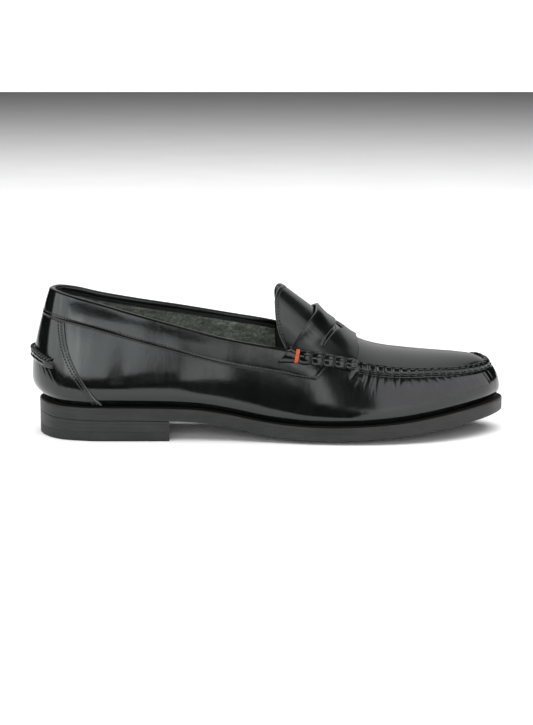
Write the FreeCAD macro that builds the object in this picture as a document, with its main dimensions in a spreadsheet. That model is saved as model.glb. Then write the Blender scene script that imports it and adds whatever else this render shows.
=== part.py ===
import FreeCAD, Part

import math
import os

from FreeCAD import Placement, Rotation, Vector

# Penny loafer with beefrolls, right shoe. Millimetres. Before the last placement the
# shoe frame is: +X towards the toe with 0 at the middle of the outsole, -Y the outer
# (lateral) side with 0 on the heel's centre line, +Z up with 0 on the ground.

# ------------------------------------------------------------------ driving dimensions

SIZES = [
    # alias, value, meaning
    ("centre_shift_x", 2.55, "moves the shoe so that the origin is under its box's centre"),
    ("centre_shift_y", -4.1, "same, across the shoe"),
    ("midsole_thick", 4.4, "runner between the outsole and the upper"),
    ("outsole_thick", 3.8, "outsole at its edge"),
    ("tread_crown", 2.75, "how far the outsole's middle stands below its edge at the ball"),
    ("heel_breast_x", -64.9, "front face of the heel at the outer side"),
    ("breast_slant", 4.0, "how much further back that face is at the inner side"),
    ("breast_hollow", 3.5, "hollow of that face in plan"),
    ("top_piece_thick", 6.2, "rubber top piece on the ground"),
    ("lift_thick", 2.5, "each leather heel lift"),
    ("lift_step", 0.3, "how far a lift stands inside the one above"),
    ("nail_radius", 0.9, "heel nails"),
    ("upper_inset", 3.8, "from the sole's edge in to the feather line"),
    ("margin_width", 11.0, "lasting margin turned in under the insole"),
    ("leather_thick", 1.6, "moccasin wall"),
    ("cover_thick", 1.2, "collar band and counter cover"),
    ("lining_thick", 1.0, "linings, facing, stiffener and puff"),
    ("layer_gap", 0.12, "air between neighbouring layers"),
    ("collar_depth", 15.5, "top line down to the collar band's lower edge"),
    ("facing_depth", 4.0, "black facing inside the top line"),
    ("insole_thick", 2.0, "insole board"),
    ("pad_thick", 2.2, "foam heel pad"),
    ("pad_taper", 1.2, "how much thinner its front edge is"),
    ("sock_thick", 1.0, "sock liner"),
    ("shank_width", 15.0, "steel shank"),
    ("shank_thick", 1.1, "steel shank"),
    ("plug_thick", 1.4, "apron and tongue leather"),
    ("strap_thick", 1.8, "saddle strap leather"),
    ("strap_lift", 0.3, "air under the saddle strap"),
    ("slot_width", 1.4, "penny slot away from its middle"),
    ("thread_radius", 0.55, "whipping thread on the beefrolls"),
    ("stitch_pitch", 5.6, "hand-sewn seam round the apron"),
    ("stitch_radius", 0.6, "thread of that seam"),
    ("heel_roll_proud", 2.4, "how far the heel roll stands out"),
    ("heel_roll_height", 6.2, "heel roll from its lower to its upper edge"),
]

doc = FreeCAD.newDocument("penny_loafer")
sheet = doc.addObject("Spreadsheet::Sheet", "Dimensions")
for row, (alias, value, meaning) in enumerate(SIZES, start=1):
    sheet.set("A%d" % row, alias)
    sheet.set("B%d" % row, str(value))
    sheet.set("C%d" % row, meaning)
    sheet.setAlias("B%d" % row, alias)
doc.recompute()


def dim(alias):
    return float(sheet.get(alias))


LEATHER = dim("leather_thick")
COVER = dim("cover_thick")
LINING = dim("lining_thick")
GAP = dim("layer_gap")
PLUG = dim("plug_thick")
UPPER_INSET = dim("upper_inset")
MARGIN = dim("margin_width")
SHOE = Placement(Vector(dim("centre_shift_x"), dim("centre_shift_y"), 0), Rotation())

# ------------------------------------------------------------------ the last's curves

# Stations round the shoe from the back of the heel along the outer side to the toe and
# back along the inner side: sole edge (x, y), then the upper's top edge (x, y, z), which
# is the top line behind the beefrolls and the apron seam in front of them.
STATIONS = [
    ((-150.0, 0.0), (-141.6, 0.0, 93.0)),
    ((-145.5, -14.5), (-137.8, -9.0, 92.2)),
    ((-136.0, -26.0), (-129.0, -16.0, 90.2)),
    ((-118.0, -32.5), (-112.0, -21.0, 86.2)),
    ((-92.0, -33.6), (-88.0, -25.0, 79.8)),
    ((-62.0, -33.4), (-59.0, -28.0, 72.2)),
    ((-30.0, -34.8), (-30.0, -31.0, 65.0)),
    ((0.0, -39.0), (-2.0, -33.5, 60.2)),
    ((30.0, -44.6), (27.0, -35.5, 56.0)),
    ((58.0, -46.0), (54.0, -35.5, 50.6)),
    ((85.0, -43.0), (80.0, -33.5, 46.6)),
    ((110.0, -34.5), (103.0, -28.0, 45.3)),
    ((131.0, -20.5), (121.5, -18.5, 44.6)),
    ((144.0, -6.0), (133.5, -7.5, 44.8)),
    ((150.0, 8.0), (138.6, 6.0, 45.8)),
    ((146.0, 23.0), (134.5, 19.5, 46.6)),
    ((133.0, 36.5), (124.0, 30.0, 47.2)),
    ((113.0, 47.0), (106.0, 37.0, 48.0)),
    ((88.0, 53.0), (84.0, 41.0, 49.4)),
    ((60.0, 53.6), (57.0, 42.0, 53.0)),
    ((32.0, 47.0), (29.0, 40.0, 60.0)),
    ((2.0, 36.5), (0.0, 37.0, 67.0)),
    ((-28.0, 30.5), (-28.0, 34.0, 72.0)),
    ((-60.0, 30.5), (-58.0, 31.0, 77.6)),
    ((-92.0, 32.5), (-88.0, 27.0, 82.8)),
    ((-118.0, 32.5), (-112.0, 22.0, 87.6)),
    ((-136.0, 26.0), (-129.0, 16.0, 91.4)),
    ((-145.5, 14.5), (-137.8, 9.0, 93.2)),
]
TURN = len(STATIONS)
TOE = 14
WAIST = 10
SOLE_LOOP = [Vector(edge[0], edge[1], 0) for edge, top in STATIONS]
TOP_LOOP = [Vector(*top) for edge, top in STATIONS]

# Side views, as heights against x.
SOLE_TOP = [
    (-158.0, 24.6), (-150.0, 23.6), (-140.0, 22.3), (-124.0, 21.6), (-90.0, 21.3),
    (-60.0, 20.8), (-45.0, 20.0), (-26.0, 17.2), (-4.0, 13.3), (12.0, 11.6), (30.0, 11.0),
    (50.0, 11.2), (81.0, 13.2), (108.0, 16.6), (128.0, 19.3), (143.0, 21.0), (158.0, 22.6),
]
TREAD_CROWN = [(-158.0, 0.0), (-40.0, 0.0), (0.0, 0.5), (30.0, 1.0), (60.0, 0.95), (158.0, 0.1)]
# How far the wall swells beyond a straight line from the feather line to the top edge, and
# the height of its fullest point as a part of the wall's height.
BULGE = [
    (-150.0, 7.4), (-118.0, 6.4), (-62.0, 5.2), (0.0, 3.6), (58.0, 2.4), (110.0, 2.6),
    (150.0, 3.6),
]
BULGE_PEAK = [(-150.0, 0.34), (0.0, 0.42), (150.0, 0.57)]
RIDGE = [
    (-12.0, 110.0), (5.0, 97.0), (18.0, 87.2), (28.0, 79.9), (38.0, 72.7), (46.0, 67.0),
    (54.0, 62.0), (62.0, 58.7), (72.0, 56.3), (84.0, 54.6), (96.0, 53.7), (110.0, 52.9),
    (122.0, 51.8), (131.0, 49.9), (138.6, 45.8),
]
# The x at the sides of the instep against the x at its ridge, for the same cross-section.
SIDE_OF_RIDGE = [
    (-12.0, -8.0), (5.0, 9.5), (28.0, 33.0), (54.0, 57.0), (84.0, 85.0), (122.0, 117.0),
    (131.0, 125.5), (138.6, 138.6),
]


# Steps along a curve's or surface's own parameters that give its directions.
STEP_T = 0.05
STEP_V = 0.004
STEP_W = 0.01
STEP_X = 0.3
HALVINGS = 40


def profile(points, x):
    """Height at x of a smooth curve through points that are in order of x."""
    last = len(points) - 2
    i = max(0, min(last, sum(1 for p in points[1:-1] if p[0] <= x)))
    slopes = []
    for k in (i, i + 1):
        a, b = points[max(k - 1, 0)], points[min(k + 1, last + 1)]
        slopes.append((b[1] - a[1]) / (b[0] - a[0]))
    (x0, z0), (x1, z1) = points[i], points[i + 1]
    span = x1 - x0
    f = (x - x0) / span
    return hermite(z0, z1, slopes[0] * span, slopes[1] * span, f)


def hermite(start, end, start_slope, end_slope, f):
    ff = f * f
    fff = ff * f
    rise = 3 * ff - 2 * fff
    return start * (1 - rise) + end * rise + start_slope * (fff - 2 * ff + f) + end_slope * (fff - ff)


def heading(before, here, after):
    """Direction of a smooth curve at the middle one of three of its points."""
    back, ahead = (here - before).Length, (after - here).Length
    return ((here - before) * (ahead / back) + (after - here) * (back / ahead)) * (1 / (back + ahead))


def on_loop(points, t):
    """Point of the closed smooth curve through points; t counts points."""
    i = int(math.floor(t))
    a, b, c, d = (points[(i + k) % len(points)] for k in (-1, 0, 1, 2))
    span = (c - b).Length
    return hermite(b, c, heading(a, b, c) * span, heading(b, c, d) * span, t - i)


def smooth_step(low, high, x):
    f = max(0.0, min(1.0, (x - low) / (high - low)))
    return f * f * (3 - 2 * f)


def last_true(low, high, is_before):
    """The number between low and high up to which is_before holds."""
    for _ in range(HALVINGS):
        middle = (low + high) / 2
        if is_before(middle):
            low = middle
        else:
            high = middle
    return low


def outward(t):
    """Horizontal unit vector out of the sole's edge."""
    along = on_loop(SOLE_LOOP, t + STEP_T) - on_loop(SOLE_LOOP, t - STEP_T)
    return Vector(along.y, -along.x, 0).normalize()


def sole_edge(t, inset):
    return on_loop(SOLE_LOOP, t) - outward(t) * inset


def wall_base(t, v):
    """Outer face of the moccasin wall: v is 0 at the feather line and 1 at the top edge,
    and runs below 0 along the lasting margin, in parts of the margin's width."""
    edge = sole_edge(t, UPPER_INSET)
    feather = Vector(edge.x, edge.y, profile(SOLE_TOP, edge.x) + GAP)
    if v < 0:
        inside = edge + outward(t) * (v * MARGIN)
        return Vector(inside.x, inside.y, profile(SOLE_TOP, inside.x) + GAP)
    top = on_loop(TOP_LOOP, t)
    peak = profile(BULGE_PEAK, edge.x)
    rise, fall = 1.5 * peak, 1.5 * (1 - peak)
    swell = (v / peak) ** rise * ((1 - v) / (1 - peak)) ** fall
    return feather + (top - feather) * v + outward(t) * (profile(BULGE, edge.x) * swell)


def wall(t, v, out=0.0):
    """A point out by that much from the wall's outer face, along its normal."""
    here = wall_base(t, v)
    if out == 0.0:
        return here
    low = wall_base(t, max(v - STEP_V, -1.0))
    high = wall_base(t, min(v + STEP_V, 1.0))
    along = wall_base(t + STEP_T, v) - wall_base(t - STEP_T, v)
    normal = along.cross(high - low).normalize()
    return here + normal * out


def wall_height(t):
    return on_loop(TOP_LOOP, t).z - sole_edge_height(t)


def sole_edge_height(t):
    return profile(SOLE_TOP, sole_edge(t, UPPER_INSET).x)


def below_top(t, depth):
    """v of the line that runs that far below the wall's top edge."""
    return 1.0 - depth / wall_height(t)


# The stretch of the top edge that a beefroll covers, and the room cut away for it.
ROLL_REAR_X = 9.0
ROLL_FRONT_X = 55.0
ROLL_ROOM = 5.6


def wall_top(t):
    """v of the wall's upper edge, which drops under each beefroll."""
    x = on_loop(TOP_LOOP, t).x
    behind_rear = 1 - smooth_step(ROLL_REAR_X - 6, ROLL_REAR_X + 1, x)
    ahead_of_front = smooth_step(ROLL_FRONT_X - 2, ROLL_FRONT_X + 5, x)
    return below_top(t, ROLL_ROOM * (1 - behind_rear) * (1 - ahead_of_front))


def station_at(x, side, height=1.0):
    """t on one side, -1 outer and +1 inner, where the wall's line at that v passes x."""
    found = last_true(0.0, TOE, lambda t: wall_base(t if side < 0 else TURN - t, height).x < x)
    return found if side < 0 else TURN - found


# ------------------------------------------------------------------ instep surface


def ridge_y(x):
    return 2.0 + 4.0 * smooth_step(40.0, 138.0, x)


FOREMOST_X = 138.55
SIDE_POINTS = {}


def side_point(x, side):
    """Point of the wall's top edge at x, remembered because many sections ask for it."""
    key = (round(x, 3), side)
    if key not in SIDE_POINTS:
        SIDE_POINTS[key] = on_loop(TOP_LOOP, station_at(min(x, FOREMOST_X), side))
    return SIDE_POINTS[key]


def instep_base(x, w):
    """Surface over the toes and instep: x of the cross-section at its ridge, w from -1 at
    the outer side to +1 at the inner side."""
    side = side_point(profile(SIDE_OF_RIDGE, x), -1 if w < 0 else 1)
    ridge = Vector(x, ridge_y(x), profile(RIDGE, x))
    bend = w * w
    return Vector(
        ridge.x + (side.x - ridge.x) * bend,
        ridge.y + (side.y - ridge.y) * abs(w),
        ridge.z + (side.z - ridge.z) * bend,
    )


def instep(x, w, out=0.0):
    along = instep_base(x + STEP_X, w) - instep_base(x - STEP_X, w)
    across = instep_base(x, min(w + STEP_W, 1.0)) - instep_base(x, max(w - STEP_W, -1.0))
    return instep_base(x, w) + along.cross(across).normalize() * out


def section_through(x, w):
    """The cross-section whose curve passes x at that w."""
    return last_true(RIDGE[0][0], FOREMOST_X, lambda section: instep_base(section, w).x < x)


# ------------------------------------------------------------------ making solids


def grid(point, first, last, columns, rows):
    """Rows of points: point(a, b) for a and b from 0 to 1."""
    return [
        [point(first + (last - first) * i / columns, j / rows) for j in range(rows + 1)]
        for i in range(columns + 1)
    ]


def knots_for(count):
    """Degree, multiplicities and knots of an even clamped spline with that many poles."""
    degree = min(3, count - 1)
    spans = count - degree
    return degree, [degree + 1] + [1] * (spans - 1) + [degree + 1], list(range(spans + 1))


def surface(rows):
    """Smooth surface with the grid's points as its poles, so it can't overshoot them."""
    u_degree, u_mults, u_knots = knots_for(len(rows))
    v_degree, v_mults, v_knots = knots_for(len(rows[0]))
    made = Part.BSplineSurface()
    made.buildFromPolesMultsKnots(
        rows, u_mults, v_mults, u_knots, v_knots, False, False, u_degree, v_degree
    )
    return made


def border(rows, side):
    """Points along one edge of a grid: low and high are its b = 0 and b = 1 edges."""
    if side in ("start", "end"):
        return rows[0] if side == "start" else rows[-1]
    return [row[0 if side == "low" else -1] for row in rows]


def solid_of(faces):
    shell = Part.makeShell(faces)
    shell.sewShape(0.01)
    solid = Part.Solid(shell)
    if solid.Volume < 0:
        solid.reverse()
    return solid


def sheet_solid(outer, inner, columns=40, rows=8, ring=False):
    """Solid between two faces given as point(a, b). A ring closes on itself at a = 1, and
    is made of two halves that meet at its ends."""
    spans = [(0.0, 0.5), (0.5, 1.0)] if ring else [(0.0, 1.0)]
    sides = ["low", "high"] if ring else ["low", "high", "start", "end"]
    faces = []
    for first, last in spans:
        out_rows = grid(outer, first, last, columns, rows)
        in_rows = grid(inner, first, last, columns, rows)
        faces += [surface(out_rows).toShape(), surface(in_rows).toShape()]
        for side in sides:
            pairs = [list(pair) for pair in zip(border(out_rows, side), border(in_rows, side))]
            faces.append(surface(pairs).toShape())
    return solid_of(faces)


def feature(label, shape):
    """A sub-part whose shape is set directly."""
    made = doc.addObject("Part::Feature", label)
    made.Label = label
    made.Shape = shape
    made.Placement = SHOE
    parts.append(made)
    return made


parts = []

# ------------------------------------------------------------------ flat layers as bodies


def origin_plane(body, role):
    return next(f for f in body.Origin.OriginFeatures if f.Role == role)


def new_body(label):
    body = doc.addObject("PartDesign::Body", label)
    body.Label = label
    parts.append(body)
    return body


def sketch_on(body, role, name):
    sketch = body.newObject("Sketcher::SketchObject", name)
    sketch.AttachmentSupport = [(origin_plane(body, role), "")]
    sketch.MapMode = "FlatFace"
    return sketch


def closed_line(sketch, corners):
    for a, b in zip(corners, corners[1:] + corners[:1]):
        sketch.addGeometry(Part.LineSegment(a, b), False)


def loop_curve(points):
    curve = Part.BSplineCurve()
    curve.interpolate(points, PeriodicFlag=True)
    return curve


def open_curve(points):
    curve = Part.BSplineCurve()
    curve.interpolate(points)
    return curve


def die_cut_outline(inset, steps_per_station=2):
    """Closed outline inside the sole's edge."""
    count = TURN * steps_per_station
    return [sole_edge(TURN * k / count, inset) for k in range(count)]


def heel_outline(inset):
    """The sole's edge behind the breast, from the outer side round to the inner side."""
    outer_end = station_on_sole(dim("heel_breast_x"), inset, -1)
    inner_end = station_on_sole(dim("heel_breast_x") - dim("breast_slant"), inset, 1)
    count = 20
    return [sole_edge(outer_end + (inner_end - outer_end) * k / count, inset) for k in range(count + 1)]


def breast_curve(outline):
    """The heel's front face in plan, hollow in the middle."""
    outer, inner = outline[0], outline[-1]
    hollow = (outer + inner) * 0.5 - Vector(dim("breast_hollow"), 0, 0)
    return Part.Arc(inner, hollow, outer)


def station_on_sole(x, inset, side):
    """t where the inset edge passes x, behind the waist; negative on the inner side."""
    return -side * last_true(0.0, WAIST, lambda t: sole_edge(-side * t, inset).x < x)


SHEET_X = 156.0
CUT_ROOM = 80.0


def bent_sheet_body(label, floor_height, thick, outline, first_x=-SHEET_X, last_x=SHEET_X):
    """A flat piece bent to the sole's side view: the bent sheet is padded across the shoe
    and everything outside the outline is cut away. floor_height gives its under face."""
    body = new_body(label)
    side = sketch_on(body, "XZ_Plane", label + "_side_view")
    count = 26
    xs = [first_x + (last_x - first_x) * k / count for k in range(count + 1)]
    below = [Vector(x, floor_height(x), 0) for x in xs]
    above = [p + Vector(0, thick(p.x), 0) for p in below]
    side.addGeometry(open_curve(below), False)
    side.addGeometry(open_curve(above), False)
    side.addGeometry(Part.LineSegment(below[0], above[0]), False)
    side.addGeometry(Part.LineSegment(below[-1], above[-1]), False)
    pad = body.newObject("PartDesign::Pad", label + "_sheet")
    pad.Profile = side
    pad.Length = 2 * CUT_ROOM
    pad.Midplane = True
    side.Visibility = False
    cut = sketch_on(body, "XY_Plane", label + "_outline")
    cut.addGeometry(loop_curve(outline), False)
    room = CUT_ROOM + 10
    far = SHEET_X + 20
    corners = [(-far, -room), (far, -room), (far, room), (-far, room)]
    closed_line(cut, [Vector(x, y, 0) for x, y in corners])
    doc.recompute()
    before = pad.Shape.Volume
    pocket = body.newObject("PartDesign::Pocket", label + "_waste")
    pocket.Profile = cut
    pocket.Type = "ThroughAll"
    pocket.Midplane = True
    doc.recompute()
    if not 0.02 * before < pocket.Shape.Volume < 0.98 * before:
        raise RuntimeError("the outline cut nothing from " + label)
    body.Placement = SHOE
    return body


def midsole_floor(x):
    return profile(SOLE_TOP, x) - dim("midsole_thick")


def insole_floor(x):
    return profile(SOLE_TOP, x) + LEATHER + 2 * GAP


def heel_pad_rise(x):
    return dim("pad_thick") * (1 - smooth_step(-92.0, -70.0, x))


def on_midsole(x):
    return profile(SOLE_TOP, x) + GAP


def on_insole(x):
    return insole_floor(x) + dim("insole_thick") + GAP


def on_heel_pad(x):
    return on_insole(x) + heel_pad_rise(x)


def same(value):
    """A thickness that doesn't change along the shoe."""
    return lambda x: value


INSOLE_INSET = UPPER_INSET + LEATHER + 2.8
SHANK_REAR_X = -99.0
SHANK_FRONT_X = 22.0
CORK_FRONT_X = 150.0
PAD_FRONT_X = -76.0


def make_sole_layers():
    bent_sheet_body("midsole", midsole_floor, same(dim("midsole_thick")), die_cut_outline(0.0))
    make_cork()
    make_shank()
    insole = die_cut_outline(INSOLE_INSET)
    bent_sheet_body("insole", insole_floor, same(dim("insole_thick")), insole)
    make_heel_pad()
    sock = die_cut_outline(INSOLE_INSET + 1.0)
    bent_sheet_body("sock_liner", on_heel_pad, same(dim("sock_thick")), sock)


def make_cork():
    """Fills the forefoot inside the lasting margin, in front of the shank."""
    rim = die_cut_outline(UPPER_INSET + MARGIN + 1.0)
    rear = SHANK_FRONT_X + 3
    cork = [Vector(max(p.x, rear), p.y, 0) for p in rim if p.x > rear - 11]
    thick = same(LEATHER - 0.2)
    bent_sheet_body("cork_filler", on_midsole, thick, cork, first_x=10.0, last_x=CORK_FRONT_X)


def make_shank():
    half = dim("shank_width") / 2
    tip, taper = SHANK_FRONT_X, SHANK_FRONT_X - 3
    side = [(SHANK_REAR_X + 4, half * 0.7), (-40.0, half), (10.0, half), (taper, half * 0.6)]
    outline = [(x, -y) for x, y in side] + [(tip, 0.0)] + side[::-1] + [(SHANK_REAR_X, 0.0)]
    outline = [Vector(x, y, 0) for x, y in outline]
    bent_sheet_body(
        "steel_shank", on_midsole, same(dim("shank_thick")), outline, first_x=-110.0, last_x=30.0
    )


def make_heel_pad():
    inset = INSOLE_INSET + 3.8
    end = station_on_sole(PAD_FRONT_X, inset, -1)
    steps = 14
    outline = [sole_edge(end * (1 - 2 * k / steps), inset) for k in range(steps + 1)]

    def thick(x):
        return dim("pad_thick") - GAP - dim("pad_taper") * smooth_step(-100.0, -70.0, x)

    bent_sheet_body("heel_pad", on_insole, thick, outline, first_x=-150.0, last_x=-60.0)


def make_outsole():
    """The outsole's under face is convex at the ball, so it is a slab between two curved
    faces, cut to the sole's outline."""
    reach, columns, rows = SHEET_X, 30, 8
    wide, crown_width = 64.0, 50.0

    def under(a, b):
        x = -reach + 2 * reach * a
        y = -wide + 2 * wide * b
        across = (y - ridge_y(x)) / crown_width
        crown = dim("tread_crown") * profile(TREAD_CROWN, x) * (1 - min(across * across, 1.6))
        return Vector(x, y, midsole_floor(x) - dim("outsole_thick") - max(crown, -1.0))

    def upper(a, b):
        x = -reach + 2 * reach * a
        return Vector(x, -wide + 2 * wide * b, midsole_floor(x) - 0.02)

    up = Vector(0, 0, 70)
    slab = surface(grid(under, 0, 1, columns, rows)).toShape().extrude(up)
    waste = surface(grid(upper, 0, 1, columns, rows)).toShape().extrude(up)
    outline = Part.Face(Part.Wire([loop_curve(die_cut_outline(0.0)).toShape()]))
    outline.translate(Vector(0, 0, -10))
    feature("outsole", outline.extrude(up).common(slab).cut(waste))


# Nails: how many stand along the rim, how far they reach into the uppermost lift, and how
# deep their heads are sunk.
NAIL_RING = 9
NAIL_GRIP = 1.2
NAIL_SUNK = 0.35


def nail_places():
    """Nails along the heel's rim and two behind its breast."""
    inset = 9.0
    t_end = station_on_sole(dim("heel_breast_x") - 12.0, inset, -1)
    rim = [sole_edge(t_end * (1 - 2 * k / (NAIL_RING - 1)), inset) for k in range(NAIL_RING)]
    return rim + [Vector(dim("heel_breast_x") - 14.0, y, 0) for y in (-9.0, 9.0)]


def heel_edges(inset):
    outline = heel_outline(inset)
    return [open_curve(outline), breast_curve(outline)]


NAIL_PLAY = 0.02


def lift_body(label, height_expression, thick_alias, inset):
    """One flat layer of the heel, with its nail holes."""
    body = new_body(label)
    outline = sketch_on(body, "XY_Plane", label + "_outline")
    for edge in heel_edges(inset):
        outline.addGeometry(edge, False)
    for place in nail_places():
        hole = Part.Circle(place, Vector(0, 0, 1), dim("nail_radius") + NAIL_PLAY)
        outline.addGeometry(hole, False)
    outline.setExpression("AttachmentOffset.Base.z", height_expression)
    pad = body.newObject("PartDesign::Pad", label + "_layer")
    pad.Profile = outline
    pad.setExpression("Length", "Dimensions." + thick_alias + " * 1 mm - 0.02 mm")
    doc.recompute()
    body.Placement = SHOE


def make_heel():
    step = dim("lift_step")
    lift_body("top_piece", "0 mm", "top_piece_thick", 3 * step)
    lift_body("heel_lift_1", "Dimensions.top_piece_thick * 1 mm", "lift_thick", 2 * step)
    second = "(Dimensions.top_piece_thick + Dimensions.lift_thick) * 1 mm"
    lift_body("heel_lift_2", second, "lift_thick", step)
    make_seat_lift(step)
    make_nails()


def make_seat_lift(step):
    """The uppermost lift, whose top face follows the curved heel seat."""
    floor = Vector(0, 0, dim("top_piece_thick") + 2 * dim("lift_thick"))
    block = Part.Face(Part.Wire([edge.toShape() for edge in heel_edges(step)]))
    block.translate(floor)
    block = block.extrude(Vector(0, 0, 12))

    def seat(a, b):
        x = -SHEET_X + 110 * a
        return Vector(x, -50 + 100 * b, midsole_floor(x) - dim("outsole_thick") - 0.05)

    block = block.cut(surface(grid(seat, 0, 1, 12, 3)).toShape().extrude(Vector(0, 0, 40)))
    for place in nail_places():
        hole = Part.makeCylinder(dim("nail_radius") + NAIL_PLAY, NAIL_GRIP + 0.2, place + floor)
        block = block.cut(hole)
    feature("heel_lift_3", block)


def make_nails():
    top = dim("top_piece_thick") + 2 * dim("lift_thick") + NAIL_GRIP
    nails = []
    for k, place in enumerate(nail_places()):
        nail = doc.addObject("Part::Cylinder", "nail_%d" % k)
        nail.setExpression("Radius", "Dimensions.nail_radius * 1 mm")
        nail.Height = top - NAIL_SUNK
        nail.Placement = Placement(place + Vector(0, 0, NAIL_SUNK), Rotation())
        nails.append(nail)
    group = doc.addObject("Part::Compound", "heel_nails")
    group.Label = "heel_nails"
    group.Links = nails
    group.Placement = SHOE
    parts.append(group)


# ------------------------------------------------------------------ upper


def ring_t(a):
    """Once round the shoe from the toe."""
    return TOE + a * TURN


def spread(b):
    """Puts more rows near the feather line, where the wall turns under."""
    return b ** 1.9


def make_wall():
    margin = -1.0
    margin_rows = 0.14

    def height(t, b):
        if b < margin_rows:
            return margin * (1 - b / margin_rows)
        return wall_top(t) * spread((b - margin_rows) / (1 - margin_rows))

    outer = lambda a, b: wall(ring_t(a), height(ring_t(a), b))
    inner = lambda a, b: wall(ring_t(a), height(ring_t(a), b), -LEATHER)
    feature("moccasin_wall", sheet_solid(outer, inner, columns=44, rows=22, ring=True))


COLLAR_LOW_X = 26.6
COLLAR_HIGH_X = 36.0


def make_collar():
    """Band along the top line, its lower front corner in front of the roll's middle."""

    def place(a, b, out):
        x_end = COLLAR_LOW_X + (COLLAR_HIGH_X - COLLAR_LOW_X) * b
        outer_end, inner_end = station_at(x_end, -1), station_at(x_end, 1) - TURN
        t = outer_end + (inner_end - outer_end) * a
        low = below_top(t, dim("collar_depth"))
        return wall(t, low + (wall_top(t) - low) * b, out)

    outer = lambda a, b: place(a, b, GAP + COVER)
    inner = lambda a, b: place(a, b, GAP)
    feature("collar_band", sheet_solid(outer, inner, columns=60, rows=6))


# The counter cover's front edge, as x against height.
COUNTER_EDGE = [
    (20.0, -105.0), (33.0, -115.6), (45.0, -123.3), (55.0, -128.0), (66.0, -130.8), (80.0, -132.0),
]


def counter_end(v, side):
    """t of the counter cover's front edge at that v."""
    def is_behind(t):
        here = wall_base(t if side < 0 else TURN - t, v)
        return here.x < profile(COUNTER_EDGE, here.z)

    return -side * last_true(0.2, 5.0, is_behind)


def heel_patch(ends, low, under_edge):
    """point(a, b, out) of a patch that wraps the heel: ends(v, side) gives t, low is the v of
    its lower edge, and under_edge how far its upper edge is below the shoe's top edge."""

    def place(a, b, out):
        t = 0.0
        for _ in range(4):
            v = low + (below_top(t, under_edge) - low) * b
            first, last = ends(v, -1), ends(v, 1)
            t = first + (last - first) * a
        return wall(t, v, out)

    return place


def layer(label, place, near, far, columns, rows):
    """A sub-part between two offsets of place(a, b, out)."""

    def outer(a, b):
        return place(a, b, near)

    def inner(a, b):
        return place(a, b, far)

    feature(label, sheet_solid(outer, inner, columns, rows))


STIFFENER_REACH = 4.1


def stiffener_end(v, side):
    return -side * STIFFENER_REACH


def make_heel_pieces():
    collar = dim("collar_depth")
    cover = heel_patch(counter_end, 0.03, collar + 0.3)
    layer("heel_counter_cover", cover, GAP + COVER, GAP, 30, 12)
    stiffener = heel_patch(stiffener_end, 0.05, collar + 3.0)
    under = -LEATHER - GAP
    layer("heel_stiffener", stiffener, under, under - LINING, 30, 12)
    make_heel_roll()


HEEL_ROLL_END = 2.05
HEEL_ROLL_BACK_Z = 52.6
HEEL_ROLL_DROP = 6.0


def make_heel_roll():
    """Rolled ridge round the back of the heel, D-shaped in section, lower at its ends."""

    def place(a, b, out):
        t = HEEL_ROLL_END * (1 - 2 * a)
        middle = HEEL_ROLL_BACK_Z - HEEL_ROLL_DROP * (t / HEEL_ROLL_END) ** 2
        z = middle + dim("heel_roll_height") * (b - 0.5)
        v = (z - sole_edge_height(t)) / wall_height(t)
        return wall(t, v, out)

    skin = 2 * GAP + COVER

    def outer(a, b):
        section = math.sqrt(max(0.0, 1 - (2 * b - 1) ** 2))
        ends = min(1.0, 9 * a * (1 - a) + 0.55)
        return place(a, b, skin + 0.4 + (dim("heel_roll_proud") - 0.4) * section * ends)

    feature("heel_roll", sheet_solid(outer, lambda a, b: place(a, b, skin), columns=24, rows=10))


LINING_SPLIT_X = 2.0
PUFF_REAR_X = 106.0


def lining_depth(t, v):
    """How deep the lining lies inside the wall: deeper over the heel stiffener and the toe puff."""
    x = wall_base(t, v).x
    above_stiffener = smooth_step(0.02, 0.14, v - below_top(t, dim("collar_depth") + 3.0))
    over_heel = (1 - smooth_step(-82.0, -50.0, x)) * (1 - above_stiffener)
    over_toe = smooth_step(82.0, 100.0, x)
    return LEATHER + GAP + (LINING + GAP) * max(over_heel, over_toe)


def quarter_t(a):
    """Once round the quarters behind the split between the linings."""
    first = station_at(LINING_SPLIT_X, -1)
    last = station_at(LINING_SPLIT_X, 1) - TURN
    return first + (last - first) * a


def lining_place(t, v, extra):
    return wall(t, v, -lining_depth(t, v) - extra)


def facing_low(t):
    return below_top(t, dim("facing_depth"))


def make_linings():
    def facing(a, b, extra):
        t = quarter_t(a)
        return lining_place(t, facing_low(t) + (wall_top(t) - 0.004 - facing_low(t)) * b, extra)

    def suede(a, b, extra):
        t = quarter_t(a)
        low, high = 0.12, facing_low(t) - 0.3 / wall_height(t)
        return lining_place(t, low + (high - low) * b, extra)

    def vamp(a, b, extra):
        front_of_split = LINING_SPLIT_X + 0.8
        first, last = station_at(front_of_split, -1), station_at(front_of_split, 1)
        t = first + (last - first) * a
        low, high = 0.16, wall_top(t) - 0.10
        return lining_place(t, low + (high - low) * b, extra)

    def puff(a, b, out):
        first, last = station_at(PUFF_REAR_X, -1), station_at(PUFF_REAR_X, 1)
        return wall(first + (last - first) * a, 0.18 + 0.66 * b, out)

    layer("collar_facing", facing, 0, LINING, 50, 3)
    layer("quarter_lining", suede, 0, LINING, 50, 14)
    layer("vamp_lining", vamp, 0, LINING, 50, 10)
    layer("toe_puff", puff, -LEATHER - GAP, -LEATHER - GAP - LINING, 24, 8)


# ------------------------------------------------------------------ instep pieces

APRON_REAR_X = 41.0
APRON_TIP_X = 137.9
# The tongue's rear edge, as x against how far out from the ridge it is.
TONGUE_EDGE = [(0.0, 7.4), (0.2, 5.4), (0.5, 2.4), (0.75, 2.6), (0.9, 5.0), (1.0, 9.0)]
SLOT_HALF_WIDTH = 33.0
STRAP_REACH = 0.93


def side_reach(x):
    """How far an instep piece runs towards the wall's top edge: less beside the rolls."""
    return 0.975 - 0.10 * (1 - smooth_step(54.0, 64.0, x))


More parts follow.
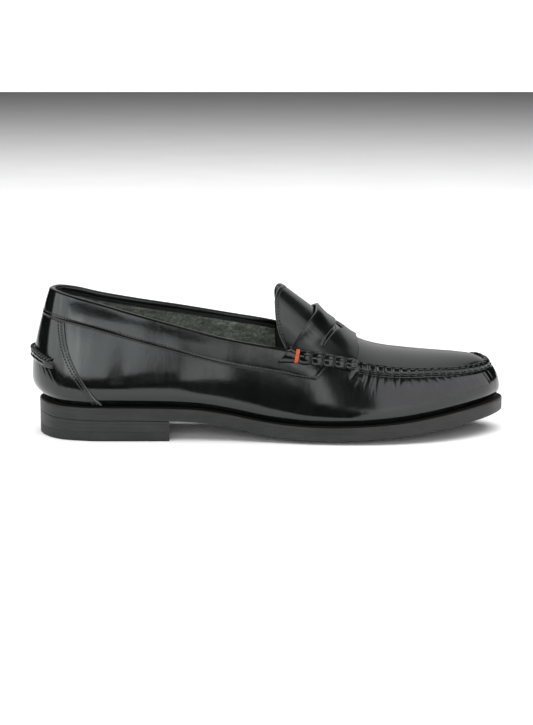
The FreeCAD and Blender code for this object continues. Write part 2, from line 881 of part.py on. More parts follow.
def instep_sheet(first_x, last_x, near, far, reach, columns=24, rows=24):
    """Solid between two offsets of the instep surface; first_x and last_x are functions of w."""

    def place(a, b, out):
        w = 2 * b - 1
        x = first_x(w) + (last_x(w) - first_x(w)) * a
        return instep(x, w * reach(x), out)

    return sheet_solid(lambda a, b: place(a, b, near), lambda a, b: place(a, b, far), columns, rows)


def lining_reach(x):
    return side_reach(x) - 0.05


def strap_reach(x):
    return STRAP_REACH


def straight_at(x):
    """An edge straight across the instep."""
    return lambda w: x


def tongue_rear(inside):
    """The tongue's rear edge, or a line that far inside it."""
    return lambda w: section_through(profile(TONGUE_EDGE, abs(w)) + inside, w * STRAP_REACH)


def strap_rear(w):
    return section_through(27.0 - 14.0 * abs(w) ** 1.6, w * STRAP_REACH)


def strap_front(w):
    return section_through(53.4 + 2.4 * math.sin(math.pi / 2 * abs(w) ** 0.8), w * STRAP_REACH)


def make_instep():
    under = -PLUG - GAP
    apron_rear, tongue_front = straight_at(APRON_REAR_X), straight_at(APRON_REAR_X - 0.4)
    apron = instep_sheet(apron_rear, straight_at(APRON_TIP_X), 0.0, -PLUG, side_reach, 30)
    feature("apron", apron)
    lining_front = straight_at(118.0)
    apron_lining = instep_sheet(apron_rear, lining_front, under, under - LINING, lining_reach)
    feature("apron_lining", apron_lining)
    tongue = instep_sheet(tongue_rear(0.0), tongue_front, 0.0, -PLUG, side_reach, 16, 32)
    feature("tongue", tongue)
    tongue_lining = instep_sheet(
        tongue_rear(0.8), tongue_front, under, under - LINING, lining_reach, 16, 32
    )
    feature("tongue_lining", tongue_lining)
    lift = dim("strap_lift")
    band = instep_sheet(
        strap_rear, strap_front, lift + dim("strap_thick"), lift, strap_reach, 10, 30
    )
    feature("saddle_strap", band.cut(slot_prism()))


def slot_prism():
    """The penny slot from above: a narrow crescent across the strap that widens to a
    triangle at the ridge, whose front edge is a lobe."""
    middle = ridge_y(40.0)
    half = SLOT_HALF_WIDTH
    thin = dim("slot_width")
    rear_edge = [
        (-half, 31.6), (-half * 0.67, 36.7), (0.0, 39.9), (half * 0.67, 36.7), (half, 31.6),
    ]
    front_edge = [(half, 31.6 + thin), (half * 0.67, 36.7 + thin), (half * 0.38, 42.0), (0.0, 46.2)]
    front_edge += [(-y, x) for y, x in reversed(front_edge[:-1])]
    behind = open_curve([Vector(x, middle + y, 0) for y, x in rear_edge])
    ahead = open_curve([Vector(x, middle + y, 0) for y, x in front_edge])
    outer_end = Part.LineSegment(behind.StartPoint, ahead.EndPoint)
    inner_end = Part.LineSegment(behind.EndPoint, ahead.StartPoint)
    wire = Part.Wire([edge.toShape() for edge in (behind, inner_end, ahead, outer_end)])
    prism = Part.Face(wire).extrude(Vector(0, 0, 60))
    prism.translate(Vector(0, 0, 45))
    return prism


# Each roll: places of its threads along it and its radius there, with the swells between.
ORANGE_AT = 8.6
BLACK_AT = [17.1, 24.8, 31.9, 39.0]
ROLL_WAVE = [
    (0.0, 4.9), (4.0, 4.7), (8.6, 4.0), (12.9, 4.8), (17.1, 3.9), (21.0, 4.6), (24.8, 3.7),
    (28.4, 4.2), (31.9, 3.4), (35.4, 3.8), (39.0, 3.0), (42.4, 3.3), (46.3, 3.5),
]
ROLL_ENDS = {
    "outer": (Vector(7.6, -38.6, 57.2), Vector(52.8, -39.0, 50.6)),
    "inner": (Vector(7.6, 41.4, 64.6), Vector(52.8, 45.2, 53.4)),
}


def roll_placement(side):
    rear, front = ROLL_ENDS[side]
    turned = Rotation(Vector(1, 0, 0), front - rear)
    return SHOE.multiply(Placement(rear, turned))


def make_rolls():
    for side in ROLL_ENDS:
        label = "beefroll_" + side
        body = new_body(label)
        half = sketch_on(body, "XZ_Plane", label + "_wave")
        wave = [Vector(along, radius, 0) for along, radius in ROLL_WAVE]
        half.addGeometry(open_curve(wave), False)
        foot, head = Vector(0, 0, 0), Vector(wave[-1].x, 0, 0)
        for a, b in ((wave[0], foot), (foot, head), (head, wave[-1])):
            half.addGeometry(Part.LineSegment(a, b), False)
        turned = body.newObject("PartDesign::Revolution", label + "_turned")
        turned.Profile = half
        turned.ReferenceAxis = (half, ["H_Axis"])
        turned.Angle = 360
        doc.recompute()
        body.Placement = roll_placement(side)


def ring_group(label, along, turns):
    """Thread rings round both rolls at the given places, as one group."""
    rings = []
    thread = dim("thread_radius")
    for side in ROLL_ENDS:
        for place in along:
            for turn in range(turns):
                at = place + (turn - (turns - 1) / 2) * 2 * thread
                ring = doc.addObject("Part::Torus", "%s_%s_%d_%d" % (label, side, int(place), turn))
                ring.setExpression("Radius2", "Dimensions.thread_radius * 1 mm")
                ring.Radius1 = profile(ROLL_WAVE, at) + thread + 0.05
                across = Placement(Vector(at, 0, 0), Rotation(Vector(0, 1, 0), 90))
                ring.Placement = roll_placement(side).multiply(across)
                rings.append(ring)
    group = doc.addObject("Part::Compound", label)
    group.Label = label
    group.Links = rings
    parts.append(group)


# The apron seam: where it starts, how far it runs below the top edge, and how much of its
# pitch a stitch takes.
SEAM_REAR_X = 60.0
SEAM_DEPTH = 3.0
STITCH_SHARE = 0.66


def make_seam():
    """Running stitches of the apron seam, on the wall just under its top edge."""
    first, last = station_at(SEAM_REAR_X, -1), station_at(SEAM_REAR_X, 1)
    length, radius = dim("stitch_pitch") * STITCH_SHARE, dim("stitch_radius")
    stitches = []
    t, travelled, step = first, 0.0, 0.01
    before = on_loop(TOP_LOOP, t)
    while t < last:
        t += step
        here = on_loop(TOP_LOOP, t)
        travelled += (here - before).Length
        before = here
        if travelled < dim("stitch_pitch"):
            continue
        travelled = 0.0
        v = below_top(t, SEAM_DEPTH)
        middle = wall(t, v, radius + 0.15)
        along = (wall(t + STEP_T, v) - wall(t - STEP_T, v)).normalize()
        stitches.append(Part.makeCylinder(radius, length, middle - along * (length / 2), along))
    feature("apron_stitching", Part.makeCompound(stitches))


# ------------------------------------------------------------------ build, check, write


def check(made):
    bad = [o.Name for o in doc.Objects if "Invalid" in o.State or "Error" in o.State]
    if bad:
        raise RuntimeError("these objects failed: %s" % bad)
    for part in made:
        shape = part.Shape
        if shape.isNull() or not shape.isValid() or shape.Volume <= 0:
            raise RuntimeError("the shape of %s isn't a valid solid" % part.Label)


def main():
    make_sole_layers()
    make_outsole()
    make_heel()
    make_wall()
    make_collar()
    make_heel_pieces()
    make_linings()
    make_instep()
    make_rolls()
    ring_group("roll_thread_orange", [ORANGE_AT], 3)
    ring_group("roll_thread_black", BLACK_AT, 2)
    make_seam()
    doc.recompute()
    check(parts)
    os.makedirs("parts", exist_ok=True)
    for part in parts:
        box = part.Shape.BoundBox
        print(
            "%-20s %2d solids %9.1f mm3  x %.1f..%.1f y %.1f..%.1f z %.1f..%.1f"
            % (part.Label, len(part.Shape.Solids), part.Shape.Volume,
               box.XMin, box.XMax, box.YMin, box.YMax, box.ZMin, box.ZMax)
        )
        part.Shape.exportStep("parts/%s.step" % part.Label)


main()
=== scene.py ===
import math

import bmesh
import bpy
import numpy as np
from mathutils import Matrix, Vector


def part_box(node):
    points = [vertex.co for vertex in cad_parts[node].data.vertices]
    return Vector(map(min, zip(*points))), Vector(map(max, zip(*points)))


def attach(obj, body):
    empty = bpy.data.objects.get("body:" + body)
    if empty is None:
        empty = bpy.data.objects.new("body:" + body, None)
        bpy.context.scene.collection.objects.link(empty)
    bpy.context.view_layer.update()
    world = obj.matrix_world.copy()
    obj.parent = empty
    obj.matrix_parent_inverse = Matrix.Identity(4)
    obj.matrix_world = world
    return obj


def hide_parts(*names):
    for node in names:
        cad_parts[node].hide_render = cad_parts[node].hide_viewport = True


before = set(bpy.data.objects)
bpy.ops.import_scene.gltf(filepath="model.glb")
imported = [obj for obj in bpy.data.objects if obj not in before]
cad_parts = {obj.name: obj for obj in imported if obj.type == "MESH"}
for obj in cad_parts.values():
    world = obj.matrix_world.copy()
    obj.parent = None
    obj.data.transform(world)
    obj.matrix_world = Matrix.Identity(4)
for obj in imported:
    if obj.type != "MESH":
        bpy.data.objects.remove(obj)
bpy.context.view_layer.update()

# Looks of a right-foot penny loafer with beefrolls. Lengths are millimetres in the shoe's own
# frame, +X toe, -Y outer side, +Z up, and become metres in the row frame when a mesh is made.

MM = 0.001

# ------------------------------------------------------------------ the last's curves

# Stations round the shoe from the back of the heel along the outer side to the toe and back:
# sole edge x, y, then the upper's top edge x, y, z.
STATIONS = np.array([
    (-150.0, 0.0, -141.6, 0.0, 93.0), (-145.5, -14.5, -137.8, -9.0, 92.2),
    (-136.0, -26.0, -129.0, -16.0, 90.2), (-118.0, -32.5, -112.0, -21.0, 86.2),
    (-92.0, -33.6, -88.0, -25.0, 79.8), (-62.0, -33.4, -59.0, -28.0, 72.2),
    (-30.0, -34.8, -30.0, -31.0, 65.0), (0.0, -39.0, -2.0, -33.5, 60.2),
    (30.0, -44.6, 27.0, -35.5, 56.0), (58.0, -46.0, 54.0, -35.5, 50.6),
    (85.0, -43.0, 80.0, -33.5, 46.6), (110.0, -34.5, 103.0, -28.0, 45.3),
    (131.0, -20.5, 121.5, -18.5, 44.6), (144.0, -6.0, 133.5, -7.5, 44.8),
    (150.0, 8.0, 138.6, 6.0, 45.8), (146.0, 23.0, 134.5, 19.5, 46.6),
    (133.0, 36.5, 124.0, 30.0, 45.6), (113.0, 47.0, 106.0, 37.0, 45.4),
    (88.0, 53.0, 84.0, 41.0, 46.4), (60.0, 53.6, 57.0, 42.0, 50.2),
    (32.0, 47.0, 29.0, 40.0, 58.0), (2.0, 36.5, 0.0, 37.0, 65.8),
    (-28.0, 30.5, -28.0, 34.0, 71.0), (-60.0, 30.5, -58.0, 31.0, 76.5),
    (-92.0, 32.5, -88.0, 27.0, 81.7), (-118.0, 32.5, -112.0, 22.0, 86.7),
    (-136.0, 26.0, -129.0, 16.0, 91.4), (-145.5, 14.5, -137.8, 9.0, 93.2),
])
# t counts stations: once round the shoe, at the toe's tip, and ahead of the waist.
TURN, TOE, WAIST = len(STATIONS), 14, 10
SOLE_LOOP = np.column_stack([STATIONS[:, :2], np.zeros(TURN)])
TOP_LOOP = STATIONS[:, 2:]

# Curves along x: height of the midsole's upper face, and how much of CROWN the tread is domed by.
SOLE_TOP = [
    (-158.0, 24.6), (-150.0, 23.6), (-140.0, 22.3), (-124.0, 21.6), (-90.0, 21.3),
    (-60.0, 20.8), (-45.0, 20.0), (-26.0, 17.2), (-4.0, 13.3), (12.0, 11.6), (30.0, 11.0),
    (50.0, 11.2), (81.0, 13.2), (108.0, 16.6), (128.0, 19.3), (143.0, 21.0), (158.0, 22.6),
]
TREAD_CROWN = [(-158.0, 0.0), (-40.0, 0.0), (0.0, 0.5), (30.0, 1.0), (60.0, 0.95), (158.0, 0.1)]
# How far the upper swells out of the straight line up to its top edge, and the share of its
# height where it swells most.
BULGE = [
    (-150.0, 8.4), (-118.0, 6.8), (-88.0, 6.1), (-58.0, 6.3), (-24.0, 4.3), (0.0, 3.4),
    (58.0, 2.7), (110.0, 3.2), (150.0, 5.2),
]
BULGE_PEAK = [(-150.0, 0.27), (-100.0, 0.27), (0.0, 0.36), (60.0, 0.45), (150.0, 0.52)]
# Height of the instep's middle line, and the x at which each of its sections meets the sides.
RIDGE = [
    (-12.0, 110.0), (5.0, 97.0), (18.0, 87.2), (28.0, 79.7), (38.0, 72.2), (46.0, 65.9),
    (54.0, 60.8), (62.0, 57.5), (72.0, 55.1), (84.0, 53.5), (96.0, 52.3), (110.0, 51.2),
    (122.0, 50.2), (131.0, 48.8), (138.6, 45.8),
]
SIDE_OF_RIDGE = [
    (-12.0, -8.0), (5.0, 9.5), (28.0, 33.0), (54.0, 57.0), (84.0, 85.0), (122.0, 117.0),
    (131.0, 125.5), (138.6, 138.6),
]
# y of the sole's middle line.
SOLE_MIDDLE = [(-150.0, 0.0), (-60.0, -1.5), (0.0, -1.0), (60.0, 4.0), (110.0, 6.5), (150.0, 8.0)]

# Thicknesses and places that the CAD model has too.
LEATHER, COVER, LINING, PLUG, STRAP = 1.6, 1.2, 1.0, 1.4, 1.8
GAP = 0.12
UPPER_INSET = 3.8
MARGIN = 11.0
MIDSOLE, OUTSOLE, CROWN = 4.4, 3.8, 2.75
TOP_PIECE, LIFT = 6.2, 2.5
BREAST_X, BREAST_SLANT, BREAST_HOLLOW = -64.9, 4.0, 3.5
COLLAR_DEPTH, FACING_DEPTH = 15.5, 4.0
# How far the upper tucks in at the sole, and the height of that tuck as a share of it.
TUCK = [(-152.0, 6.4), (-140.0, 5.4), (-118.0, 4.3), (-60.0, 4.0), (0.0, 2.8), (150.0, 2.7)]
TUCK_HIGH = 1.12
# Small steps of t, v, x and w, for slopes.
STEP_T, STEP_V, STEP_X, STEP_W = 0.05, 0.004, 0.3, 0.01
UP = np.array([0.0, 0.0, 1.0])


def unit(v):
    """Vectors of length 1."""
    return v / np.maximum(np.linalg.norm(v, axis=-1, keepdims=True), 1e-9)


def smooth_step(low, high, x):
    f = np.clip((np.asarray(x, float) - low) / (high - low), 0.0, 1.0)
    return f * f * (3 - 2 * f)


def bell(x, width):
    return np.exp(-(x / width) ** 2)


def hermite(start, end, start_slope, end_slope, f):
    ff = f * f
    fff = ff * f
    rise = 3 * ff - 2 * fff
    return start * (1 - rise) + end * rise + start_slope * (fff - 2 * ff + f) + end_slope * (fff - ff)


def profile(points, x):
    """Height at x of a smooth curve through points that are in order of x."""
    xs, ys = np.array(points, float).T
    slopes = np.empty(len(xs))
    slopes[1:-1] = (ys[2:] - ys[:-2]) / (xs[2:] - xs[:-2])
    slopes[0] = (ys[1] - ys[0]) / (xs[1] - xs[0])
    slopes[-1] = (ys[-1] - ys[-2]) / (xs[-1] - xs[-2])
    x = np.asarray(x, float)
    i = np.clip(np.searchsorted(xs, x, side="right") - 1, 0, len(xs) - 2)
    span = xs[i + 1] - xs[i]
    return hermite(ys[i], ys[i + 1], slopes[i] * span, slopes[i + 1] * span, (x - xs[i]) / span)


def heading(before, here, after):
    back = np.linalg.norm(here - before, axis=-1, keepdims=True)
    ahead = np.linalg.norm(after - here, axis=-1, keepdims=True)
    return ((here - before) * (ahead / back) + (after - here) * (back / ahead)) / (back + ahead)


def on_loop(points, t):
    """Points of the closed smooth curve through points; t counts points."""
    t = np.asarray(t, float)
    i = np.floor(t).astype(int)
    a, b, c, d = (points[(i + k) % len(points)] for k in (-1, 0, 1, 2))
    span = np.linalg.norm(c - b, axis=-1, keepdims=True)
    return hermite(b, c, heading(a, b, c) * span, heading(b, c, d) * span, (t - i)[..., None])


def outward(t):
    """Level direction away from the shoe at t."""
    along = on_loop(SOLE_LOOP, t + STEP_T) - on_loop(SOLE_LOOP, t - STEP_T)
    return unit(np.stack([along[..., 1], -along[..., 0], 0 * along[..., 0]], -1))


def sole_edge(t, inset):
    return on_loop(SOLE_LOOP, t) - outward(t) * inset


def feather_height(t):
    return profile(SOLE_TOP, sole_edge(t, UPPER_INSET)[..., 0])


def wall_height(t):
    return on_loop(TOP_LOOP, t)[..., 2] - feather_height(t)


def wall_base(t, v):
    """Outer face of the moccasin wall: v is 0 at the feather line and 1 at the top edge."""
    t, v = np.broadcast_arrays(np.asarray(t, float), np.asarray(v, float))
    edge = sole_edge(t, UPPER_INSET)
    feather = edge.copy()
    feather[..., 2] = profile(SOLE_TOP, edge[..., 0]) + GAP
    up = np.clip(v, 0.0, 1.0)
    peak = profile(BULGE_PEAK, edge[..., 0])
    swell = (up / peak) ** (1.5 * peak) * ((1 - up) / (1 - peak)) ** (1.5 * (1 - peak))
    out = profile(BULGE, edge[..., 0]) * swell
    here = feather + (on_loop(TOP_LOOP, t) - feather) * up[..., None] + outward(t) * out[..., None]
    deep = profile(TUCK, edge[..., 0])
    under = np.minimum(v, 0.0) * MARGIN - deep * bell(up * wall_height(t), TUCK_HIGH * deep)
    return here + outward(t) * under[..., None]


def wall(t, v, out=0.0):
    """Points out by that much from the wall's outer face, along its normal."""
    t, v, out = np.broadcast_arrays(*(np.asarray(k, float) for k in (t, v, out)))
    return wall_base(t, v) + wall_normal(t, v) * out[..., None]


def wall_normal(t, v):
    v = np.clip(v, 0.0, 1.0)
    up = wall_base(t, np.minimum(v + STEP_V, 1.0)) - wall_base(t, np.maximum(v - STEP_V, 0.0))
    along = wall_base(t + STEP_T, v) - wall_base(t - STEP_T, v)
    return unit(np.cross(along, up))


def below_top(t, depth):
    """v at that depth below the wall's nominal top edge."""
    return 1.0 - depth / wall_height(t)


# The gap in the wall under each beefroll: its ends, its slopes and its depth.
ROLL_REAR_X, ROLL_FRONT_X, ROLL_SLOPE, ROLL_ROOM = 9.0, 55.0, 7.0, 5.6


def wall_top(t):
    """v of the wall's upper edge, which drops under each beefroll."""
    x = on_loop(TOP_LOOP, t)[..., 0]
    behind = 1 - smooth_step(ROLL_REAR_X, ROLL_REAR_X + ROLL_SLOPE, x)
    ahead = smooth_step(ROLL_FRONT_X - ROLL_SLOPE, ROLL_FRONT_X - 1, x)
    return below_top(t, ROLL_ROOM * (1 - behind) * (1 - ahead))


SIDE_STEPS = 3000
SIDE_T = {-1: np.linspace(0.0, TOE, SIDE_STEPS), 1: np.linspace(TURN, TOE, SIDE_STEPS)}
SIDE_X = {side: on_loop(TOP_LOOP, ts)[:, 0] for side, ts in SIDE_T.items()}


def station_at(x, side):
    """t on one side, -1 outer and +1 inner, where the wall's top edge passes x."""
    return np.interp(x, SIDE_X[side], SIDE_T[side])


# ------------------------------------------------------------------ instep surface


INSTEP_FIRST_X, INSTEP_LAST_X = -12.0, 138.5
HALVINGS = 36


def ridge_y(x):
    """y of the instep's middle line."""
    return 2.0 + 4.0 * smooth_step(40.0, 138.0, x)


def instep_base(x, w):
    """The instep's surface: x names a section, and w goes from -1 outside to +1 inside."""
    x, w = np.broadcast_arrays(np.asarray(x, float), np.asarray(w, float))
    side_x = profile(SIDE_OF_RIDGE, x)
    outer = on_loop(TOP_LOOP, station_at(side_x, -1))
    inner = on_loop(TOP_LOOP, station_at(side_x, 1))
    side = np.where((w < 0)[..., None], outer, inner)
    ridge = np.stack([x, ridge_y(x), profile(RIDGE, x)], -1)
    bend = np.stack([w * w, np.abs(w), w * w], -1)
    return ridge + (side - ridge) * bend


def instep_normal(x, w):
    along = instep_base(x + STEP_X, w) - instep_base(x - STEP_X, w)
    ahead, back = np.minimum(w + STEP_W, 1.0), np.maximum(w - STEP_W, -1.0)
    across = instep_base(x, ahead) - instep_base(x, back)
    return unit(np.cross(along, across))


def instep(x, w, out=0.0):
    """Points out by that much from the instep's surface, along its normal."""
    x, w, out = np.broadcast_arrays(*(np.asarray(k, float) for k in (x, w, out)))
    return instep_base(x, w) + instep_normal(x, w) * out[..., None]


def last_true(low, high, is_before):
    """Elementwise number between low and high up to which is_before holds."""
    low, high = np.array(low, float), np.array(high, float)
    for _ in range(HALVINGS):
        middle = (low + high) / 2
        before = is_before(middle)
        low = np.where(before, middle, low)
        high = np.where(before, high, middle)
    return low


def section_through(x, w):
    """The cross-section whose curve passes x at that w."""
    x, w = np.broadcast_arrays(np.asarray(x, float), np.asarray(w, float))
    first, last = np.full(x.shape, INSTEP_FIRST_X), np.full(x.shape, INSTEP_LAST_X)
    return last_true(first, last, lambda section: instep_base(section, w)[..., 0] < x)


# ------------------------------------------------------------------ meshes

CAD_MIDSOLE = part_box("midsole")
RIM = sole_edge(np.linspace(0, TURN, 4000), 0.0)
SHIFT = np.array([
    CAD_MIDSOLE[0].x / MM - RIM[:, 0].min(),
    (CAD_MIDSOLE[0].y + CAD_MIDSOLE[1].y) / 2 / MM - (RIM[:, 1].min() + RIM[:, 1].max()) / 2,
    0.0,
])
SMOOTH_UNDER = math.radians(50)
WELD = 2e-6


def piece(name, points, faces, materials, slots=None, replaces=(), slot="black_leather"):
    """A mesh object in the row frame that rides on the shoe. slots gives each face's material."""
    mesh = bpy.data.meshes.new(name)
    flat = (np.asarray(points, float).reshape(-1, 3) + SHIFT) * MM
    mesh.from_pydata(flat.tolist(), [], [list(map(int, f)) for f in faces])
    for material in materials:
        mesh.materials.append(material)
    if slots is not None:
        mesh.polygons.foreach_set("material_index", np.asarray(slots, np.int32))
    clean = bmesh.new()
    clean.from_mesh(mesh)
    bmesh.ops.remove_doubles(clean, verts=clean.verts, dist=WELD)
    bmesh.ops.recalc_face_normals(clean, faces=clean.faces)
    clean.to_mesh(mesh)
    clean.free()
    mesh.shade_smooth()
    mesh.set_sharp_from_angle(angle=SMOOTH_UNDER)
    made = bpy.data.objects.new(name, mesh)
    bpy.context.scene.collection.objects.link(made)
    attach(made, "root")
    if replaces:
        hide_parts(*replaces)
    return made


def grid_faces(rows, columns, start=0, wrap=False):
    """Quads of a rows by columns grid of points; wrap joins the last row to the first."""
    index = start + np.arange(rows * columns).reshape(rows, columns)
    if wrap:
        index = np.vstack([index, index[:1]])
    a, b, c, d = index[:-1, :-1], index[1:, :-1], index[1:, 1:], index[:-1, 1:]
    return np.stack([a, b, c, d], -1).reshape(-1, 4)


def ring_faces(rows, around, start=0):
    """Quads between rows of closed rings of points, and a cap at each end."""
    index = start + np.arange(rows * around).reshape(rows, around)
    ring = np.hstack([index, index[:, :1]])
    quads = np.stack([ring[:-1, :-1], ring[:-1, 1:], ring[1:, 1:], ring[1:, :-1]], -1)
    return quads.reshape(-1, 4).tolist() + [index[0].tolist(), index[-1][::-1].tolist()]


# Rows of points near a sheet's border, and how far in its raw edge shows.
EDGE_STEPS = np.array([0.0, 0.07, 0.18, 0.34, 0.6])
PALE_EDGE = 0.36


def borders(count, size):
    """Positions from 0 to 1 along a piece of that size, with extra ones near both ends."""
    near = EDGE_STEPS / size
    inner = np.linspace(near[-1], 1 - near[-1], count)
    return np.concatenate([near[:-1], inner, 1 - near[:-1][::-1]])


def run_length(points, axis):
    """Distance travelled along one direction of a grid of points, from its start."""
    steps = np.linalg.norm(np.diff(points, axis=axis), axis=-1)
    start = np.zeros_like(np.take(points[..., 0], [0], axis))
    return np.concatenate([start, np.cumsum(steps, axis)], axis)


def edge_distance(points):
    """Distance of each point of a grid from the grid's border."""
    found = []
    for axis in (0, 1):
        run = run_length(points, axis)
        found += [run, np.take(run, [-1], axis) - run]
    return np.minimum.reduce(found)


def rounded(distance, radius):
    """How far a rounded edge drops at that distance inside it."""
    f = 1 - np.clip(distance / radius, 0.0, 1.0)
    return radius * (1 - np.sqrt(1 - f * f))


def deepest_corner(distance):
    """The largest of the distances at the corners of each cell of a grid."""
    low, high = slice(-1), slice(1, None)
    return np.maximum.reduce([distance[i, j] for i in (low, high) for j in (low, high)])


def two_skins(top, bottom):
    """Points and faces of a solid between two grids of points, and which faces are its rim."""
    rows, columns = top.shape[:2]
    count = rows * columns
    faces = [grid_faces(rows, columns), grid_faces(rows, columns, count)]
    index = np.arange(count).reshape(rows, columns)
    rims = [index[0], index[-1], index[:, 0], index[:, -1]]
    for rim in rims:
        faces.append(np.stack([rim[:-1], rim[1:], rim[1:] + count, rim[:-1] + count], -1))
    rim_faces = sum(len(rim) - 1 for rim in rims)
    kinds = np.concatenate([np.zeros(2 * len(faces[0]), int), np.ones(rim_faces, int)])
    return np.concatenate([top.reshape(-1, 3), bottom.reshape(-1, 3)]), np.concatenate(faces), kinds


def sheet(name, place, size, counts, near, far, materials, edge=0.5, relief=None, **kind):
    """A leather sheet between two offsets of place(a, b, out) with rounded edges. size is how
    large it is in millimetres along a and b, counts how many rows of points it gets along
    them, and relief(points) lifts its face. A second material shows along its raw edge."""
    a, b = np.meshgrid(borders(counts[0], size[0]), borders(counts[1], size[1]), indexing="ij")
    base = place(a, b, 0.0)
    distance = edge_distance(base)
    lift = relief(base) if relief else 0.0
    top = place(a, b, near + lift - rounded(distance, edge))
    bottom = place(a, b, np.full(a.shape, float(far)))
    points, faces, kinds = two_skins(top, bottom)
    if len(materials) == 1:
        return piece(name, points, faces, materials, **kind)
    pale = deepest_corner(distance) < PALE_EDGE
    kinds[:pale.size] = pale.ravel()
    return piece(name, points, faces, materials, kinds, **kind)


# A thread's end as a share of its radius, and a direction that no winding runs along.
THREAD_END = 0.55
ANY_UP = np.array([0.13, 0.27, 1.0])


def tube_rings(path, radii, sides, up):
    """Rings of points round an open path, with one radius for each of its points."""
    path = np.asarray(path, float)
    along = unit(np.gradient(path, axis=0))
    across = unit(np.cross(along, np.broadcast_to(up, path.shape)))
    over = np.cross(across, along)
    angle = 2 * np.pi * np.arange(sides) / sides
    ring = across[:, None] * np.cos(angle)[None, :, None]
    ring = ring + over[:, None] * np.sin(angle)[None, :, None]
    return path[:, None] + ring * radii[:, None, None]


def tubes(name, paths, radius, material, sides, ups=None, **kind):
    """Round threads along paths, each closed at both ends, as one object."""
    points, faces, start = [], [], 0
    for k, path in enumerate(paths):
        radii = np.full(len(path), float(radius))
        radii[[0, -1]] *= THREAD_END
        points.append(tube_rings(path, radii, sides, ANY_UP if ups is None else ups[k]).reshape(-1, 3))
        faces += ring_faces(len(path), sides, start)
        start += len(path) * sides
    return piece(name, np.concatenate(points), faces, [material], **kind)


def even_places(points, pitch):
    """Indices as numbers along a fine row of points, one every pitch."""
    run = run_length(points, 0)
    count = int(round(run[-1] / pitch))
    return np.interp(np.linspace(0, run[-1], count + 1), run, np.arange(len(points)))


# A machine stitch: places along it, its length as a share of the pitch, how high it stands, how
# deep its ends dive, and how far they lie off the line.
STITCH_U = np.array([0.0, 0.12, 0.32, 0.5, 0.68, 0.88, 1.0])
STITCH_FILL, STITCH_HIGH, STITCH_SINK, STITCH_SLANT = 0.74, 0.34, 0.22, 0.16
MACHINE_THREAD = 0.27
# A needle hole: how far its mouth stands out of the line, its radius, its width as a share of
# that, the share for its inner ring, and how deep its rim, inner ring and middle lie.
HOLE_LIFT, HOLE_RADIUS, HOLE_SIDES, HOLE_LONG, HOLE_INNER = 0.36, 0.62, 8, 0.8, 0.55
RIM_DEEP, INNER_DEEP, MIDDLE_DEEP = 0.12, 0.03, 0.10
AWL_HOLES = []


def machine_stitches(points, normals, pitch):
    """Short stitch paths on a line, each diving into an awl hole at both ends."""
    at = even_places(points, pitch)
    axis = np.arange(len(points))
    holes = np.stack([np.interp(at, axis, points[:, k]) for k in range(3)], -1)
    ups = unit(np.stack([np.interp(at, axis, normals[:, k]) for k in range(3)], -1))
    paths, guides = [], []
    onward = unit(np.gradient(holes, axis=0))
    AWL_HOLES.extend(zip(holes + ups * HOLE_LIFT, onward, ups))
    for a, b, up in zip(holes[:-1], holes[1:], ups[:-1]):
        step = b - a
        across = unit(np.cross(step, up)) * STITCH_SLANT
        f = (0.5 + (STITCH_U - 0.5) * STITCH_FILL)[:, None]
        arch = np.sin(np.pi * STITCH_U)[:, None]
        rise = STITCH_HIGH * arch - STITCH_SINK * (1 - arch)
        paths.append(a + step * f + up * rise + across * (2 * f - 1))
        guides.append(up)
    return paths, guides


def machine_seam(name, rows, radius=MACHINE_THREAD, thread=None):
    """One object of all the stitches of some rows, each row as machine_stitches gives it. Unless another
    thread is given, it is the seam thread whose lighter grey is a painted highlight.
    """
    paths = [path for row in rows for path in row[0]]
    ups = [up for row in rows for up in row[1]]
    tubes(name, paths, radius, thread or SEAM_THREAD_PAINTED_HIGHLIGHT, 6, ups, slot="black_thread")


def make_awl_holes():
    """The needle holes' mouths, as shallow dished discs between the stitches, in near-black painted
    shade.
    """
    angle = 2 * np.pi * np.arange(HOLE_SIDES) / HOLE_SIDES
    points, faces = [], []
    for place, onward, up in AWL_HOLES:
        across = unit(np.cross(up, onward))
        start = len(points) * (2 * HOLE_SIDES + 1)
        rim = onward * np.cos(angle)[:, None] * HOLE_LONG + across * np.sin(angle)[:, None]
        outer = place + rim * HOLE_RADIUS - up * RIM_DEEP
        inner = place + rim * HOLE_RADIUS * HOLE_INNER - up * INNER_DEEP
        points.append(np.vstack([outer, inner, place - up * MIDDLE_DEEP]))
        ring, middle = start + HOLE_SIDES, start + 2 * HOLE_SIDES
        for k in range(HOLE_SIDES):
            after = (k + 1) % HOLE_SIDES
            faces.append([start + k, start + after, ring + after, ring + k])
            faces.append([ring + k, ring + after, middle])
        faces.append(list(range(start, ring))[::-1])
    piece("awl_holes", np.concatenate(points), faces, [SHADE_BLACK], slot="black_thread")


# ------------------------------------------------------------------ materials


